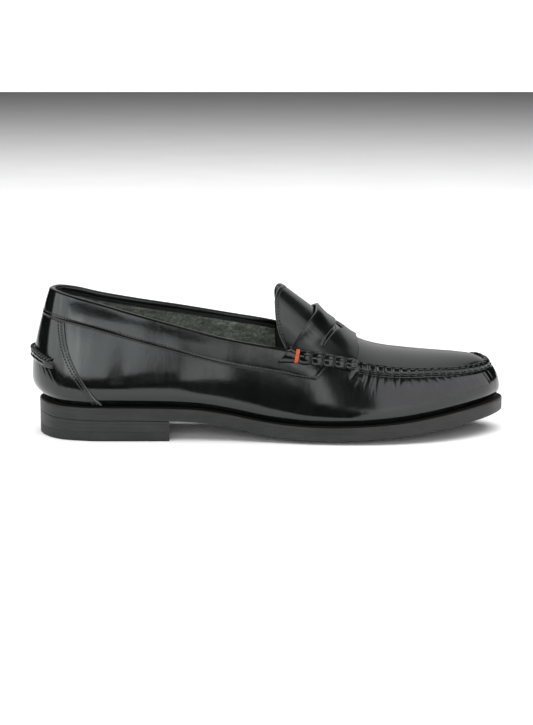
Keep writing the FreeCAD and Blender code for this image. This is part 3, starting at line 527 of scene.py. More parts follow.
class Nodes:
    """A new material's node tree, with short ways to add and join nodes."""

    def __init__(self, name):
        self.material = bpy.data.materials.new(name)
        self.material.use_nodes = True
        self.tree = self.material.node_tree
        self.surface = self.tree.nodes["Principled BSDF"]
        self.where = self.add("ShaderNodeTexCoord").outputs["Object"]

    def add(self, kind, inputs=(), **settings):
        node = self.tree.nodes.new(kind)
        for key, value in settings.items():
            setattr(node, key, value)
        for key, value in dict(inputs).items():
            if isinstance(value, bpy.types.NodeSocket):
                self.tree.links.new(value, node.inputs[key])
            else:
                node.inputs[key].default_value = value
        return node

    def stretched(self, scale):
        return self.add("ShaderNodeMapping", {"Vector": self.where, "Scale": scale}).outputs[0]

    def noise(self, scale, detail=3.0, rough=0.5, vector=None):
        source = self.where if vector is None else vector
        inputs = {"Vector": source, "Scale": scale, "Detail": detail, "Roughness": rough}
        return self.add("ShaderNodeTexNoise", inputs).outputs["Fac"]

    def cells(self, scale):
        inputs = {"Vector": self.where, "Scale": scale}
        return self.add("ShaderNodeTexVoronoi", inputs).outputs["Distance"]

    def spread(self, value, low, high, from_low=0.0, from_high=1.0):
        inputs = {"From Min": from_low, "From Max": from_high, "To Min": low, "To Max": high}
        inputs["Value"] = value
        return self.add("ShaderNodeMapRange", inputs).outputs[0]

    def math(self, operation, a, b=0.0):
        return self.add("ShaderNodeMath", {0: a, 1: b}, operation=operation).outputs[0]

    def shades(self, value, tint, *stops):
        """Lighter and darker shades of a tint: each stop is a place and a brightness."""
        shaded = [(place, tuple(min(1.0, k * share) for k in tint)) for place, share in stops]
        return self.colours(value, shaded)

    def colours(self, value, stops):
        ramp = self.add("ShaderNodeValToRGB", {"Fac": value})
        elements = ramp.color_ramp.elements
        while len(elements) < len(stops):
            elements.new(0.5)
        for element, (place, colour) in zip(elements, stops):
            element.position = place
            element.color = (*colour, 1.0)
        return ramp.outputs[0]

    def bump(self, height, distance, strength=1.0, normal=None):
        inputs = {"Height": height, "Distance": distance, "Strength": strength}
        if normal is not None:
            inputs["Normal"] = normal
        return self.add("ShaderNodeBump", inputs).outputs[0]

    def finish(self, colour, roughness, normal=None, **numbers):
        for key, value in (("Base Color", colour), ("Roughness", roughness), ("Normal", normal)):
            if isinstance(value, bpy.types.NodeSocket):
                self.tree.links.new(value, self.surface.inputs[key])
            elif value is not None:
                self.surface.inputs[key].default_value = value
        for key, value in numbers.items():
            self.surface.inputs[key.replace("_", " ")].default_value = value
        return self.material


def glossy_leather(name, tint=(0.0032, 0.0039, 0.0038), rough=(0.065, 0.16), cloud=1.0):
    """Brush-off calf: hard gloss over a fine grain, with cloudy brushed patches."""
    n = Nodes(name)
    brushed = n.noise(1.0, 4.0, 0.6, n.stretched((420.0, 420.0, 90.0)))
    patches = n.noise(38.0, 3.0, 0.55)
    mixed = n.math("ADD", n.math("MULTIPLY", brushed, 0.45), n.math("MULTIPLY", patches, 0.55))
    roughness = n.spread(mixed, rough[0], rough[1], 0.35, 0.66)
    colour = n.shades(patches, tint, (0.35, 0.75), (0.7, 1.5))
    pores = n.cells(2600.0)
    fine = n.noise(1500.0, 2.0, 0.6)
    pebble = n.math("ADD", n.math("MULTIPLY", pores, 0.5), fine)
    drawn = n.noise(1.0, 3.0, 0.5, n.stretched((48.0, 60.0, 75.0)))
    normal = n.bump(drawn, 0.00011, cloud)
    normal = n.bump(brushed, 0.000024, cloud, normal)
    normal = n.bump(pebble, 0.000012, 1.0, normal)
    coat = {"Coat_Weight": 0.12, "Coat_Roughness": 0.06, "Coat_IOR": 1.5}
    return n.finish(colour, roughness, normal, Specular_IOR_Level=0.5, **coat)


def satin_leather(name, tint, rough):
    """Plain lining and edge leather with a fine pebble."""
    n = Nodes(name)
    patches = n.noise(90.0, 4.0, 0.6)
    colour = n.shades(patches, tint, (0.3, 0.7), (0.75, 1.35))
    pebble = n.math("ADD", n.cells(1700.0), n.noise(900.0, 3.0, 0.6))
    normal = n.bump(pebble, 0.00004)
    return n.finish(colour, n.spread(patches, rough[0], rough[1]), normal, Specular_IOR_Level=0.45)


def suede(name, tint):
    """Napped split leather: soft, speckled and matte."""
    n = Nodes(name)
    nap = n.noise(620.0, 5.0, 0.8)
    stroke = n.noise(1.0, 3.0, 0.6, n.stretched((140.0, 160.0, 420.0)))
    mixed = n.math("ADD", n.math("MULTIPLY", nap, 0.65), n.math("MULTIPLY", stroke, 0.35))
    colour = n.shades(mixed, tint, (0.36, 0.25), (0.5, 1.0), (0.64, 2.3))
    normal = n.bump(mixed, 0.00022)
    return n.finish(colour, 0.95, normal, Specular_IOR_Level=0.2, Sheen_Weight=0.35, Sheen_Roughness=0.5)


def burnished_edge(name, tint, layer=1500.0, rough=(0.36, 0.55)):
    """Dyed sole leather: long fibres and faint layers along its edge."""
    n = Nodes(name)
    fibres = n.noise(1.0, 5.0, 0.65, n.stretched((90.0, 90.0, layer)))
    blotches = n.noise(55.0, 3.0, 0.6)
    mixed = n.math("ADD", n.math("MULTIPLY", fibres, 0.6), n.math("MULTIPLY", blotches, 0.4))
    colour = n.shades(mixed, tint, (0.32, 0.6), (0.5, 1.0), (0.7, 1.7))
    normal = n.bump(fibres, 0.00012)
    roughness = n.spread(mixed, rough[1], rough[0], 0.3, 0.7)
    return n.finish(colour, roughness, normal, Specular_IOR_Level=0.32)


def moulded_rubber(name, tint):
    """Matte black rubber, lightly worn."""
    n = Nodes(name)
    speckle = n.noise(700.0, 4.0, 0.6)
    wear = n.noise(60.0, 4.0, 0.6)
    colour = n.shades(wear, tint, (0.3, 0.7), (0.7, 1.4))
    normal = n.bump(speckle, 0.00006)
    return n.finish(colour, n.spread(speckle, 0.45, 0.7), normal, Specular_IOR_Level=0.33)


def twisted_thread(name, tint, gloss):
    """Waxed thread: fine twisted yarns."""
    n = Nodes(name)
    inputs = {"Vector": n.where, "Scale": 620.0, "Distortion": 2.5, "Detail": 2.0}
    yarn = n.add("ShaderNodeTexWave", inputs, bands_direction="DIAGONAL").outputs["Fac"]
    colour = n.shades(yarn, tint, (0.1, 0.5), (0.7, 1.0), (1.0, 1.3))
    normal = n.bump(yarn, 0.00012)
    return n.finish(colour, gloss, normal, Specular_IOR_Level=0.45)


def drawn_steel(name):
    """Bright steel with fine drawing lines along it."""
    n = Nodes(name)
    lines = n.noise(1.0, 3.0, 0.6, n.stretched((40.0, 900.0, 900.0)))
    colour = n.colours(lines, [(0.3, (0.42, 0.43, 0.44)), (0.7, (0.62, 0.63, 0.64))])
    return n.finish(colour, n.spread(lines, 0.25, 0.42), n.bump(lines, 0.00003), Metallic=1.0)


def granules(name, dark, light, size=260.0, rough=0.85):
    """Cork paste, pressed board and latex foam: packed grains."""
    n = Nodes(name)
    cells = n.cells(size)
    lumps = n.noise(size * 2.2, 4.0, 0.65)
    mixed = n.math("ADD", n.math("MULTIPLY", cells, 0.6), n.math("MULTIPLY", lumps, 0.6))
    colour = n.colours(mixed, [(0.25, dark), (0.75, light)])
    return n.finish(colour, rough, n.bump(mixed, 0.0003), Specular_IOR_Level=0.25)


BLACK = glossy_leather("black_leather")
PLUG_LEATHER = glossy_leather("apron_leather", rough=(0.17, 0.25), cloud=0.3)
ROLL_LEATHER = glossy_leather("roll_leather", rough=(0.07, 0.15), cloud=0.4)
CUT_EDGE = satin_leather("cut_edge", (0.080, 0.084, 0.080), (0.30, 0.42))
FACING = satin_leather("facing_leather", (0.012, 0.013, 0.0125), (0.34, 0.5))
SUEDE = suede("suede_lining", (0.066, 0.078, 0.062))
DARK_LINING = satin_leather("dark_lining", (0.008, 0.009, 0.0085), (0.55, 0.75))
SOCK = satin_leather("sock_leather", (0.02, 0.021, 0.02), (0.4, 0.58))
SOLE_EDGE = burnished_edge("sole_edge", (0.0135, 0.0138, 0.0138))
SOLE_FACE = burnished_edge("sole_face", (0.017, 0.017, 0.0165), 300.0, (0.4, 0.62))
SOLE_BROWN = burnished_edge("sole_brown_line", (0.030, 0.0225, 0.018), 700.0, (0.4, 0.6))
# Near-black matte that stands in for shade: painted shade on the welt's top in the groove under the
# upper's tuck, and in the needle holes.
SHADE_BLACK = satin_leather("painted_shade_black", (0.0025, 0.0025, 0.0025), (0.75, 0.9))
HEEL_EDGE = burnished_edge("heel_edge", (0.0135, 0.0138, 0.0138), 2300.0)
RUBBER = moulded_rubber("rubber", (0.0115, 0.0118, 0.0118))
STEEL = drawn_steel("steel")
CORK = granules("cork", (0.13, 0.07, 0.035), (0.42, 0.27, 0.15))
BOARD = granules("insole_board", (0.22, 0.16, 0.1), (0.42, 0.33, 0.23), 900.0)
FOAM = granules("foam", (0.03, 0.03, 0.028), (0.06, 0.06, 0.056), 1200.0, 0.95)
ORANGE = twisted_thread("orange_thread", (0.50, 0.088, 0.022), 0.5)
BLACK_THREAD = twisted_thread("black_thread", (0.016, 0.017, 0.017), 0.22)
# Black machine thread tinted lighter grey: a painted highlight so the collar, counter and tongue
# stitches glint.
SEAM_THREAD_PAINTED_HIGHLIGHT = twisted_thread("seam_thread", (0.058, 0.061, 0.06), 0.25)

# CAD nodes that keep their own shape.
HIDDEN_FINISHES = {
    "cork_filler": CORK, "steel_shank": STEEL, "insole": BOARD, "heel_pad": FOAM, "heel_nails": STEEL,
}
for node_name, finish_material in HIDDEN_FINISHES.items():
    node_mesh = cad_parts[node_name].data
    node_mesh.materials.clear()
    node_mesh.materials.append(finish_material)

# ------------------------------------------------------------------ the gathered apron seam

SEAM_REAR_X, STITCH_PITCH, SEAM_STEPS = 55.5, 5.1, 4000
SEAM_T = np.linspace(station_at(SEAM_REAR_X, -1), station_at(SEAM_REAR_X, 1), SEAM_STEPS)
SEAM_RUN = run_length(on_loop(TOP_LOOP, SEAM_T), 0)
SEAM_COUNT = int(round(SEAM_RUN[-1] / STITCH_PITCH))
# Four fixed random numbers for each stitch: its pillow's size, its pleat's lean, length and depth.
CHANCE = np.random.RandomState(7).rand(4, SEAM_COUNT + 3)
PILLOW, LEAN, LENGTH, DEPTH = range(4)
LIP_HIGH, LIP_DROP = 4.1, 1.5


def seam_phase(t):
    """Stitches counted along the apron seam from its outer rear end."""
    return np.interp(t, SEAM_T, SEAM_RUN) / SEAM_RUN[-1] * SEAM_COUNT


def chance(row, phase):
    """A fixed random number for the stitch nearest to that phase."""
    return CHANCE[row, np.clip(np.round(phase).astype(int), 0, SEAM_COUNT) + 1]


def lip_height(x):
    """How high the gathered lip stands above the seam's thread, less towards the toe."""
    return LIP_HIGH - LIP_DROP * smooth_step(58.0, 104.0, x)


def along_seam(t):
    """1 along the apron seam and 0 under the beefrolls and behind them."""
    return smooth_step(SEAM_REAR_X - 8, SEAM_REAR_X - 2, on_loop(TOP_LOOP, t)[..., 0])


def lip_lift(t):
    """The lip stands above the apron's edge outside and round the toe, and below it inside."""
    return 0.9 - 2.6 * smooth_step(TOE + 0.8, TOE + 3.0, t)


def slot_distance(phase):
    """How far from the nearest slot between two swells of the lip, in stitches."""
    return np.abs(phase - np.round(phase))


def soft_waves(points, size):
    """Slow unevenness of hand-lasted leather, about 1 high."""
    x, y, z = (points / size).transpose(-1, *range(points.ndim - 1))
    first = np.sin(1.7 * x + 0.6 * y + 0.4) * np.cos(1.1 * z - 0.8 * x)
    second = np.sin(2.9 * y - 1.3 * x + 2.1) * np.sin(2.3 * z + 0.5)
    third = np.cos(4.1 * x + 1.9 * z + 1.0) * np.sin(3.3 * y + 0.7)
    return 0.5 * first + 0.3 * second + 0.2 * third


def wall_relief(t, depth):
    """How far the wall stands out of its smooth shape, depth below its upper edge."""
    x = on_loop(TOP_LOOP, t)[..., 0]
    front = along_seam(t)
    high = lip_height(x)
    phase = seam_phase(t)
    in_lip = 1 - smooth_step(high - 0.9, high - 0.1, depth)
    pillow = (0.68 + 0.34 * chance(PILLOW, phase)) * (1 - bell(slot_distance(phase), 0.10)) - 0.22
    groove = -0.65 * bell(depth - high - 0.2, 0.7)
    below = np.maximum(depth - high, 0.0)
    toe_side = np.clip((TOE - t) / 2.5, -1.0, 1.0)
    lean = (-0.35 + 0.9 * smooth_step(62.0, 120.0, x) + 0.5 * (chance(LEAN, phase) - 0.5)) * toe_side
    slanted = phase - lean * below / STITCH_PITCH
    pleat_long = (3.6 + 8.0 * chance(LENGTH, slanted) ** 1.3) * (0.8 + 0.7 * smooth_step(75.0, 120.0, x))
    fade = (1 - np.exp(-below / 0.9)) * np.exp(-(below / pleat_long) ** 1.5)
    valley = -(0.09 + 0.25 * chance(DEPTH, slanted)) * bell(slot_distance(slanted), 0.08)
    swell = 0.07 * (1 - np.cos(2 * np.pi * slanted)) * np.exp(-below / 3.4)
    fine = 0.05 * np.sin(4 * np.pi * slanted + 6 * chance(LEAN, slanted)) * np.exp(-below / 5.0)
    puckers = fade * valley + (swell + fine) * (1 - np.exp(-below / 1.0))
    waves = 0.10 * soft_waves(wall(t, below_top(t, depth)), 15.0) * smooth_step(3.0, 12.0, depth)
    return front * (in_lip * pillow + groove + puckers) + waves


# ------------------------------------------------------------------ moccasin wall

# The lip's rounding, how far below its edge it lifts, how deep the finely divided part of the
# wall goes, and v of the edge that is turned in under the insole.
LIP_RADIUS, LIP_LIFT_WIDTH, FINE_DEPTH, TURNED_IN = 0.75, 2.2, 12.3, -0.35
LIP_ANGLES = np.radians([25.0, 50.0, 75.0, 100.0, 130.0, 160.0])
AROUND_STEPS = 8001


def wall_columns(fine, coarse):
    """t once round the shoe, with steps of about fine along the seam and coarse behind it."""
    t = np.linspace(0.0, TURN, AROUND_STEPS)
    x = on_loop(TOP_LOOP, (t[1:] + t[:-1]) / 2)[:, 0]
    step = coarse + (fine - coarse) * smooth_step(38.0, 50.0, x)
    lengths = np.linalg.norm(np.diff(on_loop(SOLE_LOOP, t), axis=0), axis=1)
    run = np.concatenate([[0.0], np.cumsum(lengths / step)])
    return np.interp(np.linspace(0.0, run[-1], int(run[-1]) + 1)[:-1], run, t)


def lip_rows(t, lift):
    """Rows of points over the lip's rounded top, from its outer face to its inner one."""
    normal = wall_normal(t, wall_top(t))
    up = unit(UP - normal * normal[:, 2:])
    middle = wall(t, wall_top(t), -LEATHER / 2)
    middle[:, 2] += lift
    relief = wall_relief(t, np.zeros(len(t)))
    rows = []
    for angle in LIP_ANGLES:
        radius = (LIP_RADIUS + np.clip(relief, -0.3, 1.0) * (1 + np.cos(angle)) / 2)[:, None]
        rows.append(middle + radius * (math.cos(angle) * normal + math.sin(angle) * up))
    return rows


def make_wall():
    """Vamp wall and quarters in one piece: outer face, rounded lip, inner face, turned-in edge."""
    t = wall_columns(0.55, 2.0)
    height = wall_top(t) * wall_height(t)
    upper = np.concatenate([np.arange(0.0, 12.0, 0.42), [FINE_DEPTH]])
    lower = np.concatenate([np.linspace(0.0, 0.86, 14)[1:], np.linspace(0.885, 1.0, 8)])
    depths = [np.full(len(t), depth) for depth in upper]
    depths += [FINE_DEPTH + (height - FINE_DEPTH) * share for share in lower]
    columns = []
    lift = along_seam(t) * lip_lift(t)
    for depth in depths:
        out = wall_relief(t, depth)
        here = wall(t, wall_top(t) - depth / wall_height(t), out)
        here[:, 2] += lift * bell(depth, LIP_LIFT_WIDTH)
        columns.append(here)
    columns.append(wall(t, np.full(len(t), TURNED_IN)))
    inside = [wall(t, wall_top(t) - depth / wall_height(t), -LEATHER) for depth in (0.3, 1.5, 4.0, 9.0)]
    inside += [wall(t, np.full(len(t), v), -LEATHER) for v in (0.45, 0.2, 0.02)]
    order = columns[::-1] + lip_rows(t, lift) + inside
    points = np.stack(order, 1)
    rows = len(order)
    faces = grid_faces(len(t), rows, wrap=True)
    closing = np.arange(len(t)) * rows
    after = np.roll(closing, -1)
    bottom = np.stack([closing, after, after + rows - 1, closing + rows - 1], -1)
    piece("wall_leather", points, np.concatenate([faces, bottom]), [BLACK], replaces=["moccasin_wall"])


# ------------------------------------------------------------------ apron seam thread

SEAM_RADIUS = 0.42


def swell_stitch(k, steps):
    """The slanted stitch under swell k of the lip: its path, and the direction out of the wall."""
    phase = k + 0.04 + 0.92 * steps
    t = np.interp(phase * SEAM_RUN[-1] / SEAM_COUNT, SEAM_RUN, SEAM_T)
    x = on_loop(TOP_LOOP, t)[:, 0]
    tilt = 0.55 * np.clip((TOE - t) / 1.5, -1.0, 1.0)
    depth = lip_height(x) + 0.15 + tilt * (steps - 0.5)
    arch = np.sin(np.pi * steps)
    v = wall_top(t) - depth / wall_height(t)
    return wall(t, v, -0.75 + 1.05 * arch ** 0.6), wall_normal(t, v)[len(steps) // 2]


def slot_stitch(k, steps):
    """The stitch over the lip in slot k: its path, and the direction out of the wall."""
    t = np.full(steps.shape, np.interp(k * SEAM_RUN[-1] / SEAM_COUNT, SEAM_RUN, SEAM_T))
    x = on_loop(TOP_LOOP, t[:1])[0, 0]
    down = np.linspace(0.1, lip_height(x) + 0.1, len(steps))
    v = wall_top(t) - down / wall_height(t)
    path = wall(t, v, -0.42 - 0.3 * steps ** 4)
    path[:, 2] += lip_lift(t) * bell(down, LIP_LIFT_WIDTH)
    return path, wall_normal(t, v)[len(steps) // 2]


def make_seam():
    """Hand-sewn thread: a slanted stitch under each swell of the lip and one over it in each slot."""
    under = [swell_stitch(k, np.linspace(0.0, 1.0, 9)) for k in range(SEAM_COUNT)]
    over = [slot_stitch(k, np.linspace(-1.0, 1.0, 7)) for k in range(1, SEAM_COUNT)]
    paths, ups = zip(*under, *over)
    tubes(
        "apron_seam_thread", paths, SEAM_RADIUS, BLACK_THREAD, 8, ups,
        replaces=["apron_stitching"], slot="black_thread",
    )


# ------------------------------------------------------------------ instep pieces

# Sections where the apron begins, where it and its lining end, and where the tongue ends.
APRON_REAR_X, APRON_TIP_X, APRON_LINING_X, TONGUE_FRONT_X = 41.0, 137.9, 118.0, 40.6
LINING_NARROWER = 0.05
TONGUE_STITCH_INSIDE = 2.1
# x of the tongue's free edge and of the strap's rear and front edges, by |w|; how far in w the
# strap reaches; half the penny slot's width, half the strap's, and the gap that counts as open.
TONGUE_EDGE = [(0.0, 7.4), (0.2, 5.4), (0.5, 2.4), (0.75, 2.6), (0.9, 5.0), (1.0, 9.0)]
STRAP_REACH, SLOT_HALF, STRAP_HALF, SLOT_OPEN = 0.985, 34.4, 39.0, 0.12
STRAP_REAR = [(0.0, 27.4), (0.39, 26.2), (0.73, 20.6), (0.94, 13.9), (1.0, 11.6)]
STRAP_FRONT = [(0.0, 53.6), (0.5, 54.8), (0.95, 53.9), (1.0, 53.6)]


def side_reach(x):
    """w of the apron's and tongue's side edges."""
    return 0.975 + 0.015 * (1 - smooth_step(54.0, 64.0, x))


def apron_place(tip_x, narrower):
    """The place function of a sheet over the toes that ends at tip_x."""

    def place(a, b, out):
        x = APRON_REAR_X + (tip_x - APRON_REAR_X) * a
        return instep(x, (2 * b - 1) * (side_reach(x) - narrower), out)

    return place


def make_apron():
    """The crowned plug over the toes and its lining."""

    def relief(base):
        return 0.04 * soft_waves(base, 22.0)

    sheet(
        "apron_leather", apron_place(APRON_TIP_X, 0.0), (97.0, 78.0), (110, 100), 0.0, -PLUG,
        [PLUG_LEATHER, CUT_EDGE], edge=0.7, relief=relief, replaces=["apron"],
    )
    under = -PLUG - GAP
    sheet(
        "apron_lining", apron_place(APRON_LINING_X, LINING_NARROWER), (94.0, 74.0), (70, 60), under,
        under - LINING, [DARK_LINING], edge=0.3, relief=relief, replaces=["apron_lining"],
        slot="dark_lining",
    )


def tongue_place(a, b, out, inside=0.0, narrower=0.0):
    """A point of the tongue, a from its free edge and b across it."""
    w = 2 * b - 1
    rear = section_through(profile(TONGUE_EDGE, np.abs(w)) + inside, w * STRAP_REACH)
    x = rear + (TONGUE_FRONT_X - rear) * a
    return instep(x, w * (side_reach(x) - narrower), out)


def make_tongue():
    """Tongue, its lining and the row of stitches inside its free edge."""

    def relief(base):
        from_rear = run_length(base, 0)
        return -0.05 * bell(from_rear - TONGUE_STITCH_INSIDE, 0.35) + 0.04 * soft_waves(base, 14.0)

    sheet(
        "tongue_leather", tongue_place, (38.0, 78.0), (60, 96), 0.0, -PLUG, [PLUG_LEATHER, CUT_EDGE],
        edge=0.55, relief=relief, replaces=["tongue"],
    )
    under = -PLUG - GAP

    def lining(a, b, out):
        return tongue_place(a, b, out, 0.5, LINING_NARROWER)

    sheet(
        "tongue_lining", lining, (37.0, 74.0), (40, 70), under, under - LINING, [FACING], edge=0.3,
        replaces=["tongue_lining"], slot="facing_leather",
    )
    b = np.linspace(0.06, 0.94, 400)
    near_line = (0.045, 0.055, 0.065)
    line = np.stack([tongue_place(np.full(b.shape, a), b, 0.0) for a in near_line], 1)
    rear = tongue_place(np.zeros(b.shape), b, 0.0)
    from_rear = np.linalg.norm(line[:, 0] - rear, axis=-1)[:, None] + run_length(line, 1)
    a_line = np.array([np.interp(TONGUE_STITCH_INSIDE, d, near_line) for d in from_rear])
    points = tongue_place(a_line, b, -0.2)
    normals = unit(tongue_place(a_line, b, 1.0) - points)
    machine_seam("tongue_stitches", [machine_stitches(points, normals, pitch=2.3)])


def slot_rear(y):
    """x of the penny slot's rear edge, y out from the strap's middle."""
    shape = [(0.0, 39.9), (8.0, 39.5), (15.5, 38.4), (22.2, 36.2), (28.0, 33.6), (SLOT_HALF, 30.6)]
    return profile(shape, np.abs(y))


def slot_front(y):
    """x of the slot's front edge: a thin slit that opens to a triangle ahead of the lobe."""
    shape = [
        (0.0, 45.9), (4.0, 45.3), (8.0, 43.9), (12.7, 41.7), (15.5, 40.4), (22.2, 37.9), (28.0, 35.2),
        (SLOT_HALF - 1.5, 32.4), (SLOT_HALF, 31.0),
    ]
    return profile(shape, np.abs(y))


def strap_x(w, kind):
    """Section of the strap's four edges at w."""
    if kind == "rear":
        return section_through(profile(STRAP_REAR, np.abs(w)), w * STRAP_REACH)
    if kind == "front":
        return section_through(profile(STRAP_FRONT, np.abs(w)), w * STRAP_REACH)
    middle = section_through(np.full(w.shape, 38.0), w * STRAP_REACH)
    y = instep_base(middle, w * STRAP_REACH)[..., 1] - ridge_y(40.0)
    edge = slot_rear(y) if kind == "slot_rear" else slot_front(y)
    inside = np.abs(y) < SLOT_HALF
    edge = np.where(inside, edge, 30.8 - 0.45 * (np.abs(y) - SLOT_HALF))
    return section_through(edge, w * STRAP_REACH)


def strap_faces(shape, rear_rows, open_slot):
    """Faces between the strap's top and bottom grids, their materials, and the cells that are in
    neither the slot nor the joint beside it. open_slot says in which columns the bands part."""
    rows, columns = shape
    count = rows * columns
    index = np.arange(count).reshape(shape)
    quads = grid_faces(rows, columns).reshape(rows - 1, columns - 1, 4)
    keep = np.ones((rows - 1, columns - 1), bool)
    keep[rear_rows - 1] = False
    slot_cells = open_slot[:-1] | open_slot[1:]
    rims = [index[0], index[-1]]
    for column in (0, -1):
        rims += [index[:rear_rows, column], index[rear_rows:, column]]
    strips = [np.stack([rim[:-1], rim[1:]], -1) for rim in rims]
    for row in (rear_rows - 1, rear_rows):
        strips.append(np.stack([index[row, :-1], index[row, 1:]], -1)[slot_cells])
    ends = np.concatenate(strips)
    sides = np.column_stack([ends, ends[:, ::-1] + count])
    joint = quads[rear_rows - 1][~slot_cells]
    groups = [quads[keep], quads[keep] + count, sides, joint, joint + count]
    kinds = np.concatenate([np.full(len(group), int(group is sides)) for group in groups])
    return np.concatenate(groups), kinds, keep


def make_strap():
    """The strap as two bands, behind and ahead of the penny slot, that meet beside it."""
    b = borders(260, 2 * STRAP_HALF)
    w = 2 * b - 1
    edges = {kind: strap_x(w, kind) for kind in ("rear", "slot_rear", "slot_front", "front")}
    bands = []
    for first, last, size in (("rear", "slot_rear", 14.0), ("slot_front", "front", 13.0)):
        a = borders(16, size)
        bands.append(edges[first][None] + (edges[last] - edges[first])[None] * a[:, None])
    sections = np.concatenate(bands)
    rear_rows = len(bands[0])
    ww = np.broadcast_to(w * STRAP_REACH, sections.shape)
    base = instep(sections, ww, 0.0)
    gap = np.linalg.norm(base[rear_rows] - base[rear_rows - 1], axis=-1)
    run = run_length(base, 0)
    across = run_length(base, 1)
    to_side = np.minimum(across, across[:, -1:] - across)
    to_slot = np.full(run.shape, 99.0)
    to_slot[:rear_rows] = run[rear_rows - 1] - run[:rear_rows]
    to_slot[rear_rows:] = run[rear_rows:] - run[rear_rows]
    to_slot = to_slot + 3.0 * (1 - smooth_step(0.1, 1.0, gap))
    distance = np.minimum.reduce([run, run[-1] - run, to_side, to_slot])
    # It stands off most at its rear edge, then at the lobe ahead of the slot and the bend behind it.
    lifted = 0.3 + 1.5 * bell(run, 6.0) * (1 - smooth_step(0.75, 1.0, np.abs(ww) / STRAP_REACH))
    ahead = (np.arange(len(run)) >= rear_rows)[:, None]
    lobe = 0.5 * bell(run - run[rear_rows], 6.0) * ahead
    bend = 0.35 * bell(run[rear_rows - 1] - run, 4.0) * ~ahead
    lifted = lifted + lobe * bell(w * STRAP_HALF, 12.0) + bend * bell(w * STRAP_HALF, 15.0)
    top = instep(sections, ww, lifted + STRAP - rounded(distance, 0.55))
    bottom = instep(sections, ww, lifted)
    faces, kinds, keep = strap_faces(sections.shape, rear_rows, gap > SLOT_OPEN)
    kinds[:keep.sum()] = (deepest_corner(distance) < PALE_EDGE)[keep]
    points = np.concatenate([top.reshape(-1, 3), bottom.reshape(-1, 3)])
    piece(
        "saddle_strap_leather", points, faces, [PLUG_LEATHER, CUT_EDGE], kinds,
        replaces=["saddle_strap"],
    )


# ------------------------------------------------------------------ beefrolls

# A roll's length, the slant of its rear end and how far along that fades, and how many lengthwise
# folds it has. Then its radius by the distance along it, the places of its ties, and its ends.
ROLL_LONG, ROLL_SLANT, ROLL_SLANT_LONG, ROLL_FOLDS = 46.3, 0.55, 8.0, 10
ROLL_WAVE = [(0.0, 4.9), (8.6, 4.6), (21.0, 4.45), (31.9, 4.05), (39.0, 3.7), (ROLL_LONG, 3.5)]
ORANGE_AT = 8.6
BLACK_AT = (17.1, 24.8, 31.9, 39.0)
ROLL_ENDS = {
    "outer": (np.array([7.6, -38.6, 57.2]), np.array([52.8, -38.6, 50.4])),
    "inner": (np.array([7.6, 41.4, 63.4]), np.array([52.8, 44.8, 50.8])),
}


def roll_frame(side):
    """Rear end, direction, outward and upward unit vectors of a roll."""
    rear, front = ROLL_ENDS[side]
    along = unit(front - rear)
    out = unit(np.cross(along, UP)) * (1 if side == "outer" else -1)
    up = np.cross(along, out) * (-1 if side == "outer" else 1)
    return rear, along, out, up


def roll_radius(u, angle, side):
    """Radius of the gathered roll u along it: each tie cuts a narrow neck and pinches folds."""
    ties = np.array((ORANGE_AT,) + BLACK_AT)
    away = np.abs(u[..., None] - ties).min(-1)
    pinch = np.exp(-away / 1.1)
    radius = profile(ROLL_WAVE, u) - 0.38 * bell(away, 0.75) + 0.20 * np.minimum(away - 2.0, 1.6)
    draws = np.random.RandomState(11 if side == "outer" else 12)
    for k in range(ROLL_FOLDS):
        at = 2 * np.pi * (k + 0.5 * draws.rand()) / ROLL_FOLDS
        drift, size = draws.rand() - 0.5, 0.5 + draws.rand()
        turn = np.cos((angle - at - 0.03 * drift * u) / 2) ** 2
        radius = radius - 0.32 * size * (0.15 + pinch) * turn ** 60
    flare = smooth_step(5.5, 0.0, u)
    ragged = smooth_step(41.5, 46.0, u)
    frayed = 0.35 * np.cos(5 * angle + 1.0) + 0.25 * np.cos(9 * angle + 2.0)
    radius = radius + 0.7 * flare + ragged * frayed
    return radius * (1 - 0.25 * smooth_step(42.0, ROLL_LONG, u))


def on_roll(u, angle, side):
    """A point of the roll's skin; both ends are cut at a slant."""
    rear, along, sideways, up = roll_frame(side)
    radius = roll_radius(u, angle, side)
    high = np.sin(angle) * radius
    slanted = u + ROLL_SLANT * high * (1 - smooth_step(0.0, ROLL_SLANT_LONG, u))
    slanted = slanted + 0.30 * high * smooth_step(40.0, 46.0, u)
    flat = 0.93
    return (
        rear + slanted[..., None] * along
        + (np.cos(angle) * radius * flat)[..., None] * sideways + high[..., None] * up
    )


# A roll's end: rings as shares of the last one, and how deep each lies inside it.
ROLL_END_RINGS = ((0.93, -0.12), (0.80, 0.35), (0.70, 1.2), (0.52, 0.9), (0.40, 1.3), (0.12, 1.6))


def make_roll(side):
    """A beefroll's gathered skin, closed at both ends by a dished face with a raised ring."""
    around = 110
    u = np.linspace(0.0, ROLL_LONG, 190)
    angle = 2 * np.pi * np.arange(around) / around
    uu, aa = np.meshgrid(u, angle, indexing="ij")
    body = on_roll(uu, aa, side)
    along = roll_frame(side)[1]
    rings = list(body)
    for end, direction in ((0, 1.0), (-1, -1.0)):
        middle = body[end].mean(0)
        for share, depth in ROLL_END_RINGS:
            ring = middle + (body[end] - middle) * share + along * direction * depth
            rings.insert(0 if end == 0 else len(rings), ring)
    faces = ring_faces(len(rings), around)
    piece(
        "beefroll_%s_leather" % side, np.concatenate(rings), faces, [ROLL_LEATHER],
        replaces=["beefroll_" + side],
    )


